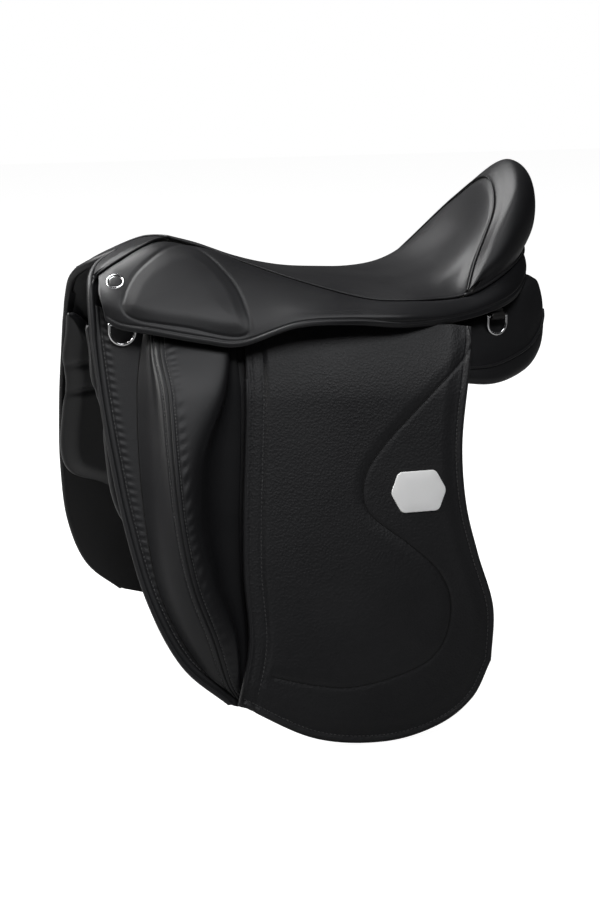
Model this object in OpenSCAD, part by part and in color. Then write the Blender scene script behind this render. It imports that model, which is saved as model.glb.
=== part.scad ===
// English saddle, dressage pattern: long straight leg flap, outside knee block, deep seat.
// Millimetres. +Z is up, the pommel points along -X and the near (left) side along -Y.
// The origin lies on the centre plane, under the lowest point of the seat, on the line where the
// panels bear on the horse's back.

/* [Leather and padding] */
// Thickness of the seat, skirt and cap leather
leather = 3; // [2:0.5:3.5]
// Thickness of the sweat flap
sweat_t = 4; // [2.5:0.5:4]
// Thickness of the padded leg flap
flap_t = 7; // [5:0.5:7.5]
// Height of the knee block over the sweat flap
block_h = 42; // [25:1:45]
// Thickness of the forward pad on the sweat flap's inner side
pad_t = 17; // [10:1:20]

/* [Billets] */
// Width of one girth strap
billet_w = 26; // [20:1:30]
// Thickness of one girth strap
billet_t = 3; // [2:0.5:3]
// Length of one girth strap below its stitching
billet_len = 285; // [180:5:285]

/* [Metalwork] */
// Radius of the stirrup bar
bar_r = 4.5; // [4:0.1:5]
// Length of the stirrup bar's round part
bar_len = 46; // [40:1:50]
// Radius of the catch's pivot pin
catch_pin_r = 1.5; // [1.2:0.1:1.6]
// Radius of the D-ring wire
wire_r = 1.5; // [1.2:0.1:1.7]
// Thickness of the steel head plate
head_t = 5; // [3:0.5:5]

/* [Smoothness] */
// Facets on a full circle of the exact parts
$fn = 48; // [24:4:72]

/* [Hidden] */

black_leather = [0.09, 0.09, 0.09];
grained_leather = [0.13, 0.13, 0.13];
felt_black = [0.2, 0.2, 0.2];
foam_white = [0.85, 0.84, 0.78];
beech = [0.72, 0.55, 0.36];
steel = [0.75, 0.76, 0.78];
plate_white = [0.93, 0.93, 0.93];
webbing_tan = [0.7, 0.64, 0.5];

gap = 0.4; // clear distance between neighbouring soft pieces

// ---- curves and lofted sheets -------------------------------------------------------------

// Point on a smooth curve through pts, at s from 0 to 1.
function spline(p0, p1, p2, p3, t) =
  0.5 * (2 * p1 + (p2 - p0) * t + (2 * p0 - 5 * p1 + 4 * p2 - p3) * t * t
    + (3 * p1 - p0 - 3 * p2 + p3) * t * t * t);
function along(pts, s) =
  let (n = len(pts) - 1, q = min(max(s * n, 0), n - 0.00001), i = floor(q), a = pts[i], b = pts[i + 1])
  spline(i > 0 ? pts[i - 1] : 2 * a - b, a, b, i < n - 1 ? pts[i + 2] : 2 * b - a, q - i);

// Sheet of points through guide curves: rows run across the guides, us and vs are [from, to, steps].
function sheet(guides, us, vs) =
  [for (i = [0:us[2]]) let (row = [for (g = guides) along(g, us[0] + (us[1] - us[0]) * i / us[2])])
    [for (j = [0:vs[2]]) along(row, vs[0] + (vs[1] - vs[0]) * j / vs[2])]];

// Near-side guides carried on over the centre plane to the off side; the last guide lies on it.
function flip(p) = [p[0], -p[1], p[2]];
function both_sides(half) =
  concat(half, [for (i = [len(half) - 2:-1:0]) [for (p = half[i]) flip(p)]]);
// The same for guides that run across the saddle: each guide is carried over the centre plane.
function across(half) =
  [for (g = half) concat(g, [for (i = [len(g) - 2:-1:0]) flip(g[i])])];

function clamp_i(i, list) = max(0, min(len(list) - 1, i));
function at(g, i, j) = g[clamp_i(i, g)][clamp_i(j, g[0])];
function unit(v) = v / norm(v);
function normal(g, i, j) =
  unit(cross(at(g, i + 1, j) - at(g, i - 1, j), at(g, i, j + 1) - at(g, i, j - 1)));
function inset(g, d) =
  [for (i = [0:len(g) - 1]) [for (j = [0:len(g[0]) - 1]) g[i][j] - d * normal(g, i, j)]];
// The sheet lowered by d and drawn in to k of its width.
function lowered(g, d, k) = [for (row = g) [for (p = row) [p[0], p[1] * k, p[2] - d]]];

// Closed solid between two sheets with the same number of points; top is the outer one.
module slab(top, under) {
  m = len(top);
  n = len(top[0]);
  function t(i, j) = i * n + j;
  function u(i, j) = m * n + i * n + j;
  polyhedron(
    points = concat([for (r = top) each r], [for (r = under) each r]),
    faces = concat(
      [for (i = [0:m - 2], j = [0:n - 2]) each
        [[t(i, j), t(i, j + 1), t(i + 1, j + 1)], [t(i, j), t(i + 1, j + 1), t(i + 1, j)],
         [u(i, j), u(i + 1, j + 1), u(i, j + 1)], [u(i, j), u(i + 1, j), u(i + 1, j + 1)]]],
      [for (i = [0:m - 2]) each
        [[t(i, 0), t(i + 1, 0), u(i + 1, 0)], [t(i, 0), u(i + 1, 0), u(i, 0)],
         [t(i + 1, n - 1), t(i, n - 1), u(i, n - 1)], [t(i + 1, n - 1), u(i, n - 1), u(i + 1, n - 1)]]],
      [for (j = [0:n - 2]) each
        [[t(0, j + 1), t(0, j), u(0, j)], [t(0, j + 1), u(0, j), u(0, j + 1)],
         [t(m - 1, j), t(m - 1, j + 1), u(m - 1, j + 1)], [t(m - 1, j), u(m - 1, j + 1), u(m - 1, j)]]]
    ),
    convexity = 6
  );
}

// Off-side pieces are the near-side ones mirrored in the centre plane.
module off_side() {
  mirror([0, 1, 0]) children();
}

// ---- the flap plane -----------------------------------------------------------------------

// Half the width of the saddle over the sweat flaps, at x and z. The flaps spread downwards and
// rearwards: straight at the front edge, slightly bowed at the rear.
flap_x0 = -250;
flap_x1 = 70;
function front_half(z) = 50 + 0.47 * (68 - z);
function rear_half(z) = let (h = 40 - z) 142 + 0.311 * h - 0.000263 * h * h;
function lean(x, z) =
  let (t = (x - flap_x0) / (flap_x1 - flap_x0)) front_half(z) * (1 - t) + rear_half(z) * t;
// A point of the near-side flap plane, standing off outwards.
function on_flap(x, z, off) = [x, -(lean(x, z) + off), z];

// Outward direction of the flap plane on the near side.
function flap_normal(x, z) =
  unit([-(lean(x + 1, z) - lean(x - 1, z)) / 2, -1, -(lean(x, z + 1) - lean(x, z - 1)) / 2]);

// Places a piece drawn flat (its x to the rear, its y up, its z outwards) on the near-side flap plane.
module place_on_flap(x, z, off) {
  n = flap_normal(x, z);
  ex = unit([1, 0, 0] - n * n[0]);
  ey = cross(n, ex);
  p = on_flap(x, z, off);
  multmatrix([
    [ex[0], ey[0], n[0], p[0]],
    [ex[1], ey[1], n[1], p[1]],
    [ex[2], ey[2], n[2], p[2]],
    [0, 0, 0, 1]
  ]) children();
}

// A sheet of the flap plane through upright guides of [x, z], with its stand-off read from z.
function flap_sheet(guides, nu, nv, offs) =
  [for (row = sheet(guides, [0, 1, nu], [0, 1, nv])) [for (p = row) on_flap(p[0], p[1], lookup(p[1], offs))]];

// ---- seat ---------------------------------------------------------------------------------

// Guides from pommel to cantle: the seat's edge, two between, and the crest on the centre plane.
seat_edge = [[-178, -21, 125], [-131, -35, 117.5], [-92, -53, 103], [-48, -77, 88], [5, -104, 76],
  [45, -115, 74.5], [72, -114.5, 74.5], [89, -114, 75.5], [101, -113, 78]];
seat_outer = [[-176, -17, 127], [-131, -27, 119], [-90, -42, 103], [-43, -62, 89.5], [8, -85, 82.5],
  [48, -95, 80.5], [78, -95, 82.5], [103, -92, 91], [124, -88, 110]];
seat_inner = [[-171, -10, 129.4], [-131, -15, 119.8], [-88, -25, 103.6], [-38, -38, 92], [14, -52, 86.5],
  [56, -60, 85], [93, -62, 95], [127, -58, 122], [158, -49, 158]];
seat_crest = [[-165, 0, 130.3], [-131, 0, 120.2], [-86, 0, 104.5], [-36, 0, 93.5], [18, 0, 86.8],
  [62, 0, 86], [102, 0, 97.5], [137, 0, 128], [164, 0, 176]];
seat_guides = both_sides([seat_edge, seat_outer, seat_inner, seat_crest]);

foam_top = 8;
foam_base = 19;
tree_top = 21;
tree_base = 27;

module seat_cover() {
  top = sheet(seat_guides, [0, 1, 24], [0, 1, 16]);
  color(black_leather) slab(top, inset(top, leather));
}

module seat_foam() {
  top = sheet(seat_guides, [0.03, 0.97, 18], [0.06, 0.94, 10]);
  color(foam_white) slab(lowered(top, foam_top, 0.93), lowered(top, foam_base, 0.9));
}

module tree_shell() {
  top = sheet(seat_guides, [0.02, 0.96, 18], [0.12, 0.88, 8]);
  color(beech) slab(lowered(top, tree_top, 0.86), lowered(top, tree_base, 0.84));
}

// ---- cantle -------------------------------------------------------------------------------

// Guides across the cantle, each from the near-side foot of the cap to the centre plane.
cap_guides = across([
  [[102.2, -113.6, 80.4], [125.6, -89.1, 111], [159, -49.6, 159], [165.4, 0, 177.4]],
  [[105, -114, 84], [132, -88, 114.5], [166, -51, 164], [175, 0, 187.5]],
  [[110, -113, 87], [141, -88, 121], [176, -53, 171], [187, 0, 195.5]],
  [[114.5, -110, 88], [150, -90, 116], [188, -54, 157], [200, 0, 180]],
  [[118, -107, 87], [154, -90, 105], [193, -53, 132], [206, 0, 148]],
  [[120, -103.5, 86], [149, -90, 95.5], [182, -54, 108], [202, 0, 116.5]]
]);
function pick(list, indices) = [for (i = indices) list[i]];

// These sheets face inwards, so the leather's inner side is the top one.
module cantle_cap() {
  outer = sheet(cap_guides, [0, 1, 20], [0, 1, 9]);
  color(black_leather) slab(inset(outer, -leather), outer);
}

module cantle_pad() {
  clear = leather + 2;
  face = sheet(pick(cap_guides, [0, 1, 2]), [0.1, 0.9, 14], [0.35, 0.95, 3]);
  back = sheet(pick(cap_guides, [5, 4, 3]), [0.1, 0.9, 14], [0.15, 0.95, 3]);
  color(foam_white) slab(inset(back, clear), inset(face, -clear));
}

// ---- pommel -------------------------------------------------------------------------------

facing_guides = across([
  [[-239, -30, 100.5], [-220, -30, 111], [-192, -20, 123.3], [-168, 0, 129.6]],
  [[-245, -29, 97], [-235, -25, 105], [-217, -14, 115.5], [-203, 0, 122.5]],
  [[-249, -27, 89], [-247, -20, 94], [-243, -10, 98.5], [-240, 0, 100]],
  [[-247, -25, 83], [-245, -18, 87], [-241, -9, 90], [-238, 0, 91]]
]);

module pommel_facing() {
  top = sheet(facing_guides, [0, 1, 14], [0, 1, 5]);
  color(black_leather) slab(top, inset(top, leather));
}

// Outside line of the steel arch in the tree's head, from the centre down to the point.
head_x = -208;
head_w = 24;
head_line = [[0, 90], [28, 84], [48, 72], [59, 57], [75, 23]];

module head_plate() {
  outer = concat([for (i = [len(head_line) - 1:-1:1]) [-head_line[i][0], head_line[i][1]]], head_line);
  function shrink(p) = [p[0] * (1 - head_t / 62), p[1] - head_t * (1 - abs(p[0]) / 140)];
  inner = [for (p = outer) shrink(p)];
  color(steel)
    translate([head_x, 0, 0]) rotate([90, 0, 90]) linear_extrude(head_w)
      polygon(concat(outer, [for (i = [len(inner) - 1:-1:0]) inner[i]]));
}

rivet_r = 3;
module head_rivets() {
  color(steel)
    for (side = [-1, 1], x = [7, 17])
      translate([head_x + x, side * 12, head_line[0][1] - 1.1]) rotate([side * 12, 0, 0])
        cylinder(r = rivet_r, h = 2);
}

// ---- skirts -------------------------------------------------------------------------------

// The skirt's lower front part lifts about a straight line from its front edge to its waist.
fold_a = [-246, -56, 86];
fold_b = [30, -139, 64];
fold_steps = [0, 0.08, 0.2, 0.36, 0.5, 0.66, 0.83, 1];
function on_fold(f) = fold_a + (fold_b - fold_a) * f;
skirt_top = [[-238, -31.5, 99], [-219, -31.5, 110], [-186, -22.5, 122.5], [-131, -36.5, 116.5], [-92, -54.5, 102],
  [-48, -78.5, 87], [5, -105.5, 75], [45, -116.7, 73.5], [98, -115.5, 75.5], [140, -98, 89], [178, -60, 104],
  [203, -2.5, 113]];
skirt_mid = [[-242, -44, 93], [-226, -47, 98], [-190, -52, 107], [-139, -65, 101.5], [-100, -80, 91.5],
  [-55, -98, 81.5], [-6, -116.5, 72.5], [38, -128.5, 70], [93, -126, 67], [144, -108, 79], [183, -64, 95],
  [205, -2.5, 102]];
skirt_fold = concat([for (f = fold_steps) on_fold(f)], [[88, -134, 56], [146, -112, 67], [180, -70, 83], [201, -2.5, 90]]);
skirt_low = [[-243, -70, 62], [-232, -80, 55], [-205, -95, 51], [-160, -112, 43], [-126, -121, 40],
  [-75, -131, 56.5], [-22, -138, 57.5], [30, -142, 52.5]];
// Thickness of the lifting part, towards the horse and down.
skirt_in = leather * [0, 0.7, -0.7];

// These sheets face inwards too.
module skirt() {
  outer = sheet([skirt_top, skirt_mid, skirt_fold], [0, 1, 28], [0, 0.95, 4]);
  color(black_leather) slab(inset(outer, -leather), outer);
}

module skirt_flap() {
  fold = [for (f = fold_steps) on_fold(f) + [0, -0.4, -0.8]];
  middle = (fold + skirt_low) / 2 + [for (p = fold) [0, -4, 4]];
  outer = sheet([fold, middle, skirt_low], [0, 1, 16], [0, 1, 4]);
  color(black_leather) slab([for (row = outer) [for (p = row) p + skirt_in]], outer);
}

badge_at = [-228.4, -51.4, 94];
badge_r = 9;
module badge() {
  color(steel)
    translate(badge_at) rotate([44, 0, -20]) {
      difference() {
        cylinder(r = badge_r, h = 2);
        translate([0, 0, 1]) cylinder(r = badge_r - 2, h = 2);
      }
      translate([0, 0, 1]) cylinder(r = badge_r - 3, h = 0.8);
    }
}

// ---- panels -------------------------------------------------------------------------------

// Upper and lower side of the near panel, each from the channel outwards.
panel_over = [
  [[-236, -32, 52], [-190, -36, 62], [-140, -38, 60], [-70, -44, 56], [0, -50, 54], [70, -52, 55],
    [120, -52, 60], [160, -50, 74], [185, -48, 78], [198, -52, 70]],
  [[-236, -42, 48], [-190, -49, 56], [-140, -70, 47], [-70, -92, 42], [0, -108, 38], [70, -122, 44],
    [120, -105, 57], [160, -88, 66], [185, -72, 72], [198, -62, 68]]
];
panel_under = [
  [[-236, -31, 38], [-190, -34, 46], [-140, -35, 42], [-70, -36, 34], [0, -36, 28], [70, -37, 26],
    [120, -38, 28], [160, -40, 36], [185, -44, 46], [198, -50, 56]],
  [[-236, -38, 28], [-190, -52, 24], [-140, -64, 18], [-70, -75, 8], [0, -84, 1], [70, -90, -3],
    [120, -90, -3], [160, -84, 3], [185, -72, 22], [198, -62, 44]],
  [[-236, -46, 24], [-190, -68, 15], [-140, -90, 4], [-70, -107, 0], [0, -122, 0], [70, -140, 3],
    [120, -139, 1], [160, -117, 11], [185, -94, 24], [198, -72, 46]]
];

module panel() {
  over = sheet(panel_over, [0, 1, 22], [0, 1, 6]);
  under = sheet(panel_under, [0, 1, 22], [0, 1, 6]);
  color(grained_leather) slab(under, over);
}

// Leather bridge that closes the channel's roof between the two panels.
module panel_bridge() {
  color(felt_black) translate([-184, -31, 54]) cube([340, 62, 2.5]);
}

// Thin forward pad under the sweat flap, with the blocks' wavy front.
module panel_forward() {
  guides = [
    [[-251, 28], [-250, -4], [-248, -31], [-249, -54], [-247, -101], [-234, -125], [-202, -140]],
    [[-190, 8], [-190, -15], [-189, -40], [-187, -66], [-182, -105], [-170, -138], [-150, -158]],
    [[-110, -4], [-110, -25], [-110, -48], [-108, -72], [-100, -110], [-92, -140], [-84, -158]],
    [[0, -6], [0, -26], [0, -46], [0, -66], [2, -92], [4, -116], [6, -136]]
  ];
  outer = flap_sheet(guides, 12, 9, [[-200, -10], [60, -10]]);
  inner = flap_sheet(guides, 12, 9, [[-160, -18], [-100, -10 - pad_t], [20, -10 - pad_t]]);
  color(grained_leather) slab(outer, inner);
}

// ---- sweat flap and knee block ------------------------------------------------------------

module sweat_flap() {
  guides = [
    [[-252, 74], [-253, 44], [-252, -10], [-249, -60], [-243, -119], [-230, -185], [-205, -240], [-165, -276]],
    [[-205, 53], [-200, 22], [-198, -20], [-195, -70], [-186, -125], [-172, -185], [-150, -245], [-122, -288]],
    [[-120, 34], [-115, 4], [-112, -30], [-110, -80], [-106, -130], [-100, -190], [-90, -250], [-76, -296]],
    [[-20, 34], [-20, 0], [-20, -45], [-20, -90], [-20, -140], [-19, -195], [-17, -250], [-14, -296]],
    [[62, 33], [58, 0], [56, -45], [56, -90], [58, -140], [62, -190], [60, -230], [44, -268]]
  ];
  outer = flap_sheet(guides, 14, 10, [[-300, 0], [90, 0]]);
  inner = flap_sheet(guides, 14, 10, [[-300, -sweat_t], [90, -sweat_t]]);
  color(black_leather) slab(outer, inner);
}

// Front foot, ridge and rear foot of the knee block, from top to bottom, as [x, z].
block_foot = [[-214, 33], [-219, -5], [-224, -60], [-225, -115], [-221, -170], [-207, -212], [-184, -250]];
block_ridge = [[-200, 33], [-200, 0], [-203, -58], [-203, -115], [-197, -165], [-182, -212], [-170, -254]];
block_rear = [[-130, 33], [-126, 0], [-132, -58], [-142, -115], [-146, -165], [-146, -212], [-156, -262]];
// How far the ridge stands, as a part of the block's height, and how hollow its rear side is.
block_rise = [0.5, 0.86, 1, 1, 0.94, 0.72, 0.28];
block_fill = [0.95, 0.8, 0.5, 0.35, 0.35, 0.45, 0.5];

module knee_block() {
  function mid(a, b, f) = a + (b - a) * f;
  rows = [for (k = [0:len(block_foot) - 1])
    let (foot = block_foot[k], ridge = block_ridge[k], rear = block_rear[k], h = block_h * block_rise[k],
      fill = block_fill[k])
    [[foot, 3], [mid(foot, ridge, 0.35), h * 0.72], [ridge, h], [mid(ridge, rear, 0.3), h * mid(0.6, 0.9, fill)],
     [mid(ridge, rear, 0.62), h * mid(0.2, 0.75, fill)], [rear, 5]]];
  columns = [for (c = [0:5]) [for (r = rows) on_flap(r[c][0][0], r[c][0][1], r[c][1])]];
  base = [for (c = [0:5]) [for (r = rows) on_flap(r[c][0][0], r[c][0][1], gap)]];
  color(black_leather) slab(sheet(columns, [0, 1, 12], [0, 1, 10]), sheet(base, [0, 1, 12], [0, 1, 10]));
}

// ---- leg flap -----------------------------------------------------------------------------

// The leg flap turns up about a line at this height on its outer face.
hinge_z = 22;
// Stand-off of the leg flap's outer face at each height: it tucks in under the skirt.
flap_outer = [[-330, 16], [0, 16], [22, 12.5], [42, 4], [66, -4]];
flap_inner = [for (p = flap_outer) [p[0], p[1] - lookup(p[0], [[0, flap_t], [22, flap_t - 1.5], [42, 3.5]])]];

module leg_flap() {
  top_z = hinge_z - 0.5;
  guides = [
    [[-119, top_z], [-123, -15], [-130, -65], [-137, -115], [-142, -165], [-144, -222], [-160, -273]],
    [[-68, top_z], [-69, -20], [-72, -75], [-76, -130], [-80, -185], [-84, -245], [-92, -308]],
    [[-14, top_z], [-14, -22], [-16, -78], [-18, -135], [-20, -192], [-22, -255], [-24, -318]],
    [[38, top_z], [34, -20], [30, -74], [31, -128], [35, -182], [38, -240], [30, -309]],
    [[65, top_z], [58, -16], [52, -66], [53, -118], [60, -168], [68, -222], [66, -287]],
    [[84, top_z], [76, -12], [69, -60], [70, -110], [78, -155], [90, -205], [86, -254]]
  ];
  outer = flap_sheet(guides, 14, 14, flap_outer);
  inner = flap_sheet(guides, 14, 14, flap_inner);
  color(grained_leather) slab(outer, inner);
}

module flap_root() {
  guides = [
    [[-114, 52], [-117, 38], [-118, hinge_z]],
    [[-60, 53], [-66, 38], [-68, hinge_z]],
    [[10, 53], [10, 38], [12, hinge_z]],
    [[82, 50], [85, 38], [84, hinge_z]]
  ];
  outer = flap_sheet(guides, 4, 10, flap_outer);
  inner = flap_sheet(guides, 4, 10, flap_inner);
  color(grained_leather) slab(outer, inner);
}

// Blank six-sided plate on the leg flap.
plate_at = [25, -95];
plate_w = 53;
plate_h = 38;
module flap_plate() {
  color(plate_white)
    place_on_flap(plate_at[0], plate_at[1], lookup(plate_at[1], flap_outer) + 0.6) linear_extrude(1.6)
      polygon([[-plate_w / 2, 0], [-plate_w / 3, plate_h / 2], [plate_w / 3, plate_h / 2], [plate_w / 2, 0],
        [plate_w / 3, -plate_h / 2], [-plate_w / 3, -plate_h / 2]]);
}

// ---- girth straps -------------------------------------------------------------------------

billet_top = 21;
web_t = 2;
billet_off = 3.2; // the straps' inner side, clear of the webbing
front_billet_x = -80;
rear_billet_x = -12;

module billet_web() {
  guides = [[[-100, 30], [-100, 8]], [[-44, 30], [-44, 8]], [[8, 30], [8, 8]]];
  outer = flap_sheet(guides, 3, 6, [[0, gap + web_t], [60, gap + web_t]]);
  inner = flap_sheet(guides, 3, 6, [[0, gap], [60, gap]]);
  color(webbing_tan) slab(outer, inner);
}

module billet(x) {
  half = billet_w / 2;
  tip = billet_top - billet_len;
  guides = [[[x - half, billet_top], [x - half, tip / 2], [x - half, tip]],
    [[x, billet_top], [x, tip / 2], [x, tip - 12]],
    [[x + half, billet_top], [x + half, tip / 2], [x + half, tip]]];
  outer = flap_sheet(guides, 12, 4, [[0, billet_off + billet_t], [60, billet_off + billet_t]]);
  inner = flap_sheet(guides, 12, 4, [[0, billet_off], [60, billet_off]]);
  color(black_leather) slab(outer, inner);
}

// ---- stirrup bar --------------------------------------------------------------------------

// The bar lies under the skirt along the flap, open to the rear, where a small catch closes it.
// Drawn with the bar along X from the origin, and set at bar_at.
bar_at = [-165, -95, 50];
bar_turn = -11;
bar_plate_y = 18;
bar_arm = 10;
catch_x = bar_len - 4; // the catch's pivot
catch_len = 12;
slot_w = 4;
rivet_t = 1.8;

module place_bar() {
  color(steel) translate(bar_at) rotate([0, 0, bar_turn]) children();
}

module stirrup_bar() {
  place_bar() difference() {
    union() {
      rotate([0, 90, 0]) cylinder(r = bar_r, h = bar_len);
      translate([-bar_arm, -bar_r + 0.5, -2]) cube([bar_arm, bar_plate_y + bar_r + 3.5, 8]);
      translate([-bar_arm, bar_plate_y, -2]) cube([56, 4, 24]);
    }
    translate([catch_x - 7, -slot_w / 2, -10]) cube([30, slot_w, 20]);
    translate([catch_x, 10, 0]) rotate([90, 0, 0]) cylinder(r = catch_pin_r, h = 20);
  }
}

module bar_rivets() {
  place_bar() for (x = [0, 36])
    translate([x, bar_plate_y, 15]) rotate([90, 0, 0]) cylinder(r = rivet_r, h = rivet_t);
}

module catch_pin() {
  place_bar() translate([catch_x, bar_r - 0.6, 0]) rotate([90, 0, 0])
    cylinder(r = catch_pin_r, h = 2 * bar_r - 1.2);
}

module bar_catch() {
  thick = slot_w - 0.4;
  half = bar_r - 2;
  place_bar() translate([catch_x, thick / 2, 0]) rotate([90, 0, 0]) difference() {
    union() {
      cylinder(r = half, h = thick);
      translate([0, -half, 0]) cube([catch_len, 2 * half, thick]);
      translate([catch_len, 0, 0]) cylinder(r = half, h = thick);
    }
    translate([0, 0, -1]) cylinder(r = catch_pin_r + 0.05, h = thick + 2);
  }
}

// ---- D-rings ------------------------------------------------------------------------------

// Ring of wire: a straight bar through the chape and a half-round hanging from it. Drawn with the
// bar along X at the origin and the round part down.
module ring(half_w, drop) {
  rotate([0, 90, 0]) translate([0, 0, -half_w]) cylinder(r = wire_r, h = 2 * half_w);
  for (side = [-1, 1]) translate([side * half_w, 0, 0]) {
    sphere(r = wire_r);
    translate([0, 0, -drop]) cylinder(r = wire_r, h = drop);
  }
  translate([0, 0, -drop]) rotate([90, 180, 0]) rotate_extrude(angle = 180)
    translate([half_w, 0]) circle(r = wire_r);
}

// Leather loop round the ring's bar, with its tail running up under the skirt.
module chape(width, tail) {
  difference() {
    union() {
      rotate([0, 90, 0]) translate([0, 0, -width / 2]) cylinder(r = 3.4, h = width);
      translate([-width / 2, 0.6, 0]) cube([width, 2.8, tail]);
    }
    rotate([0, 90, 0]) translate([0, 0, -width]) cylinder(r = wire_r + 0.08, h = 2 * width);
  }
}

front_ring_at = [-227.5, -72, 57];
front_ring_turn = -14;
rear_ring_at = [131, -117, 55];
rear_ring_turn = 16;

module front_ring() {
  color(steel) translate(front_ring_at) rotate([0, 0, front_ring_turn]) ring(12, 7);
}

module front_chape() {
  color(black_leather) translate(front_ring_at) rotate([0, 0, front_ring_turn]) chape(16, 15);
}

module rear_ring() {
  color(steel) translate(rear_ring_at) rotate([0, 0, rear_ring_turn]) ring(11, 7);
}

module rear_chape() {
  color(black_leather) translate(rear_ring_at) rotate([0, 0, rear_ring_turn]) chape(15, 7.5);
}

// ---- nodes --------------------------------------------------------------------------------

tree_shell();
head_plate();
head_rivets();
seat_foam();
seat_cover();
cantle_pad();
cantle_cap();
pommel_facing();
panel_bridge();
skirt();  // skirt_near
off_side() skirt();  // skirt_off
skirt_flap();  // skirt_flap_near
off_side() skirt_flap();  // skirt_flap_off
badge();  // badge_near
off_side() badge();  // badge_off
panel();  // panel_near
off_side() panel();  // panel_off
panel_forward();  // panel_forward_near
off_side() panel_forward();  // panel_forward_off
sweat_flap();  // sweat_flap_near
off_side() sweat_flap();  // sweat_flap_off
knee_block();  // knee_block_near
off_side() knee_block();  // knee_block_off
flap_root();  // flap_root_near
off_side() flap_root();  // flap_root_off
leg_flap();  // leg_flap_near
off_side() leg_flap();  // leg_flap_off
flap_plate();  // flap_plate_near
off_side() flap_plate();  // flap_plate_off
billet_web();  // billet_web_near
off_side() billet_web();  // billet_web_off
billet(front_billet_x);  // billet_front_near
off_side() billet(front_billet_x);  // billet_front_off
billet(rear_billet_x);  // billet_rear_near
off_side() billet(rear_billet_x);  // billet_rear_off
stirrup_bar();  // stirrup_bar_near
off_side() stirrup_bar();  // stirrup_bar_off
bar_rivets();  // bar_rivets_near
off_side() bar_rivets();  // bar_rivets_off
catch_pin();  // catch_pin_near
off_side() catch_pin();  // catch_pin_off
bar_catch();  // bar_catch_near
off_side() bar_catch();  // bar_catch_off
front_chape();  // front_chape_near
off_side() front_chape();  // front_chape_off
front_ring();  // front_ring_near
off_side() front_ring();  // front_ring_off
rear_chape();  // rear_chape_near
off_side() rear_chape();  // rear_chape_off
rear_ring();  // rear_ring_near
off_side() rear_ring();  // rear_ring_off
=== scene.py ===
import math

import bmesh
import bpy
import numpy as np
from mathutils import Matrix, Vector


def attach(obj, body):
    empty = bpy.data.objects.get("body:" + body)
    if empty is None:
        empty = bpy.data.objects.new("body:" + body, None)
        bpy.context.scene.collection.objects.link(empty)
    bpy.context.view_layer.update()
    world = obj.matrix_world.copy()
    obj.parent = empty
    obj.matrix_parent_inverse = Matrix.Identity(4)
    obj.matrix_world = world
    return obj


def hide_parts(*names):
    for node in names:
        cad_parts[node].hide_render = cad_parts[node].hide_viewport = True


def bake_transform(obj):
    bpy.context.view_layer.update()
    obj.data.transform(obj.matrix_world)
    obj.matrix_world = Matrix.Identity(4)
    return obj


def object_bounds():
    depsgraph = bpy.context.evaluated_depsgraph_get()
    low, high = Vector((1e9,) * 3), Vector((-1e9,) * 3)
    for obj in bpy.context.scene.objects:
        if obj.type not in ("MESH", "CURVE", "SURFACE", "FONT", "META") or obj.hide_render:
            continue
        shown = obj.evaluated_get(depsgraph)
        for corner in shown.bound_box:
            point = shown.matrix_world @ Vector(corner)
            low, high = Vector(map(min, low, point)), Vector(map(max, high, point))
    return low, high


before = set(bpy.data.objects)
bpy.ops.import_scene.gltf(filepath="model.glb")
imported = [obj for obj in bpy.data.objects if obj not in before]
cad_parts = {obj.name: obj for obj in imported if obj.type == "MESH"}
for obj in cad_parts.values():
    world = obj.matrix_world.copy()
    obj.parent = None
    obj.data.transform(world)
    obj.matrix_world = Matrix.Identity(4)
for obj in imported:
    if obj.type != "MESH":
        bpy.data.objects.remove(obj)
cad_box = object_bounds()

MM = 0.001
ROOT = "seat_and_tree"

# ---- camera, light and floor ----

TARGET = np.array([-30, 0, -90]) * MM
BACK = np.array([-0.30227, -0.93027, 0.20791])
cam_data = bpy.data.cameras.new("camera")
cam = bpy.data.objects.new("camera", cam_data)
bpy.context.scene.collection.objects.link(cam)
cam_data.lens = 92
cam_data.sensor_fit = "AUTO"
cam_data.sensor_width = 36
cam_data.clip_start, cam_data.clip_end = 0.1, 60
cam.location = Vector(TARGET + BACK * 2.3)
cam.rotation_mode = "QUATERNION"
cam.rotation_quaternion = Vector(-BACK).to_track_quat("-Z", "Y")
bpy.context.scene.camera = cam


def area_light(name, place, size, watts, colour=(1, 1, 1)):
    data = bpy.data.lights.new(name, "AREA")
    data.shape = "RECTANGLE"
    data.size, data.size_y = size
    data.energy = watts
    data.color = colour
    lamp = bpy.data.objects.new(name, data)
    bpy.context.scene.collection.objects.link(lamp)
    lamp.location = place
    aim = Vector((-0.03, 0, -0.06)) - Vector(place)
    lamp.rotation_euler = aim.to_track_quat("-Z", "Y").to_euler()


area_light("key_left", (-2.2, 0.3, 1.5), (1.2, 1.2), 46, (1.0, 0.99, 0.97))
area_light("top_back", (-1.0, 1.0, 2.1), (1.8, 1.4), 88)
area_light("fill_above", (-0.1, -1.4, 2.1), (1.3, 1.3), 30, (0.97, 0.98, 1.0))

AMBIENT = 0.02
world = bpy.data.worlds.new("studio")
world.use_nodes = True
# White behind the object, and only a little light from all round on it.
tree = world.node_tree
soft = tree.nodes["Background"]
soft.inputs["Color"].default_value = (1, 1, 1, 1)
soft.inputs["Strength"].default_value = AMBIENT
white = tree.nodes.new("ShaderNodeBackground")
white.inputs["Color"].default_value = (1, 1, 1, 1)
white.inputs["Strength"].default_value = 1.0
pick = tree.nodes.new("ShaderNodeMixShader")
tree.links.new(tree.nodes.new("ShaderNodeLightPath").outputs["Is Camera Ray"], pick.inputs[0])
tree.links.new(soft.outputs[0], pick.inputs[1])
tree.links.new(white.outputs[0], pick.inputs[2])
tree.links.new(pick.outputs[0], tree.nodes["World Output"].inputs["Surface"])
bpy.context.scene.world = world
bpy.context.scene.view_settings.view_transform = "Standard"

# ---- materials ----


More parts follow.
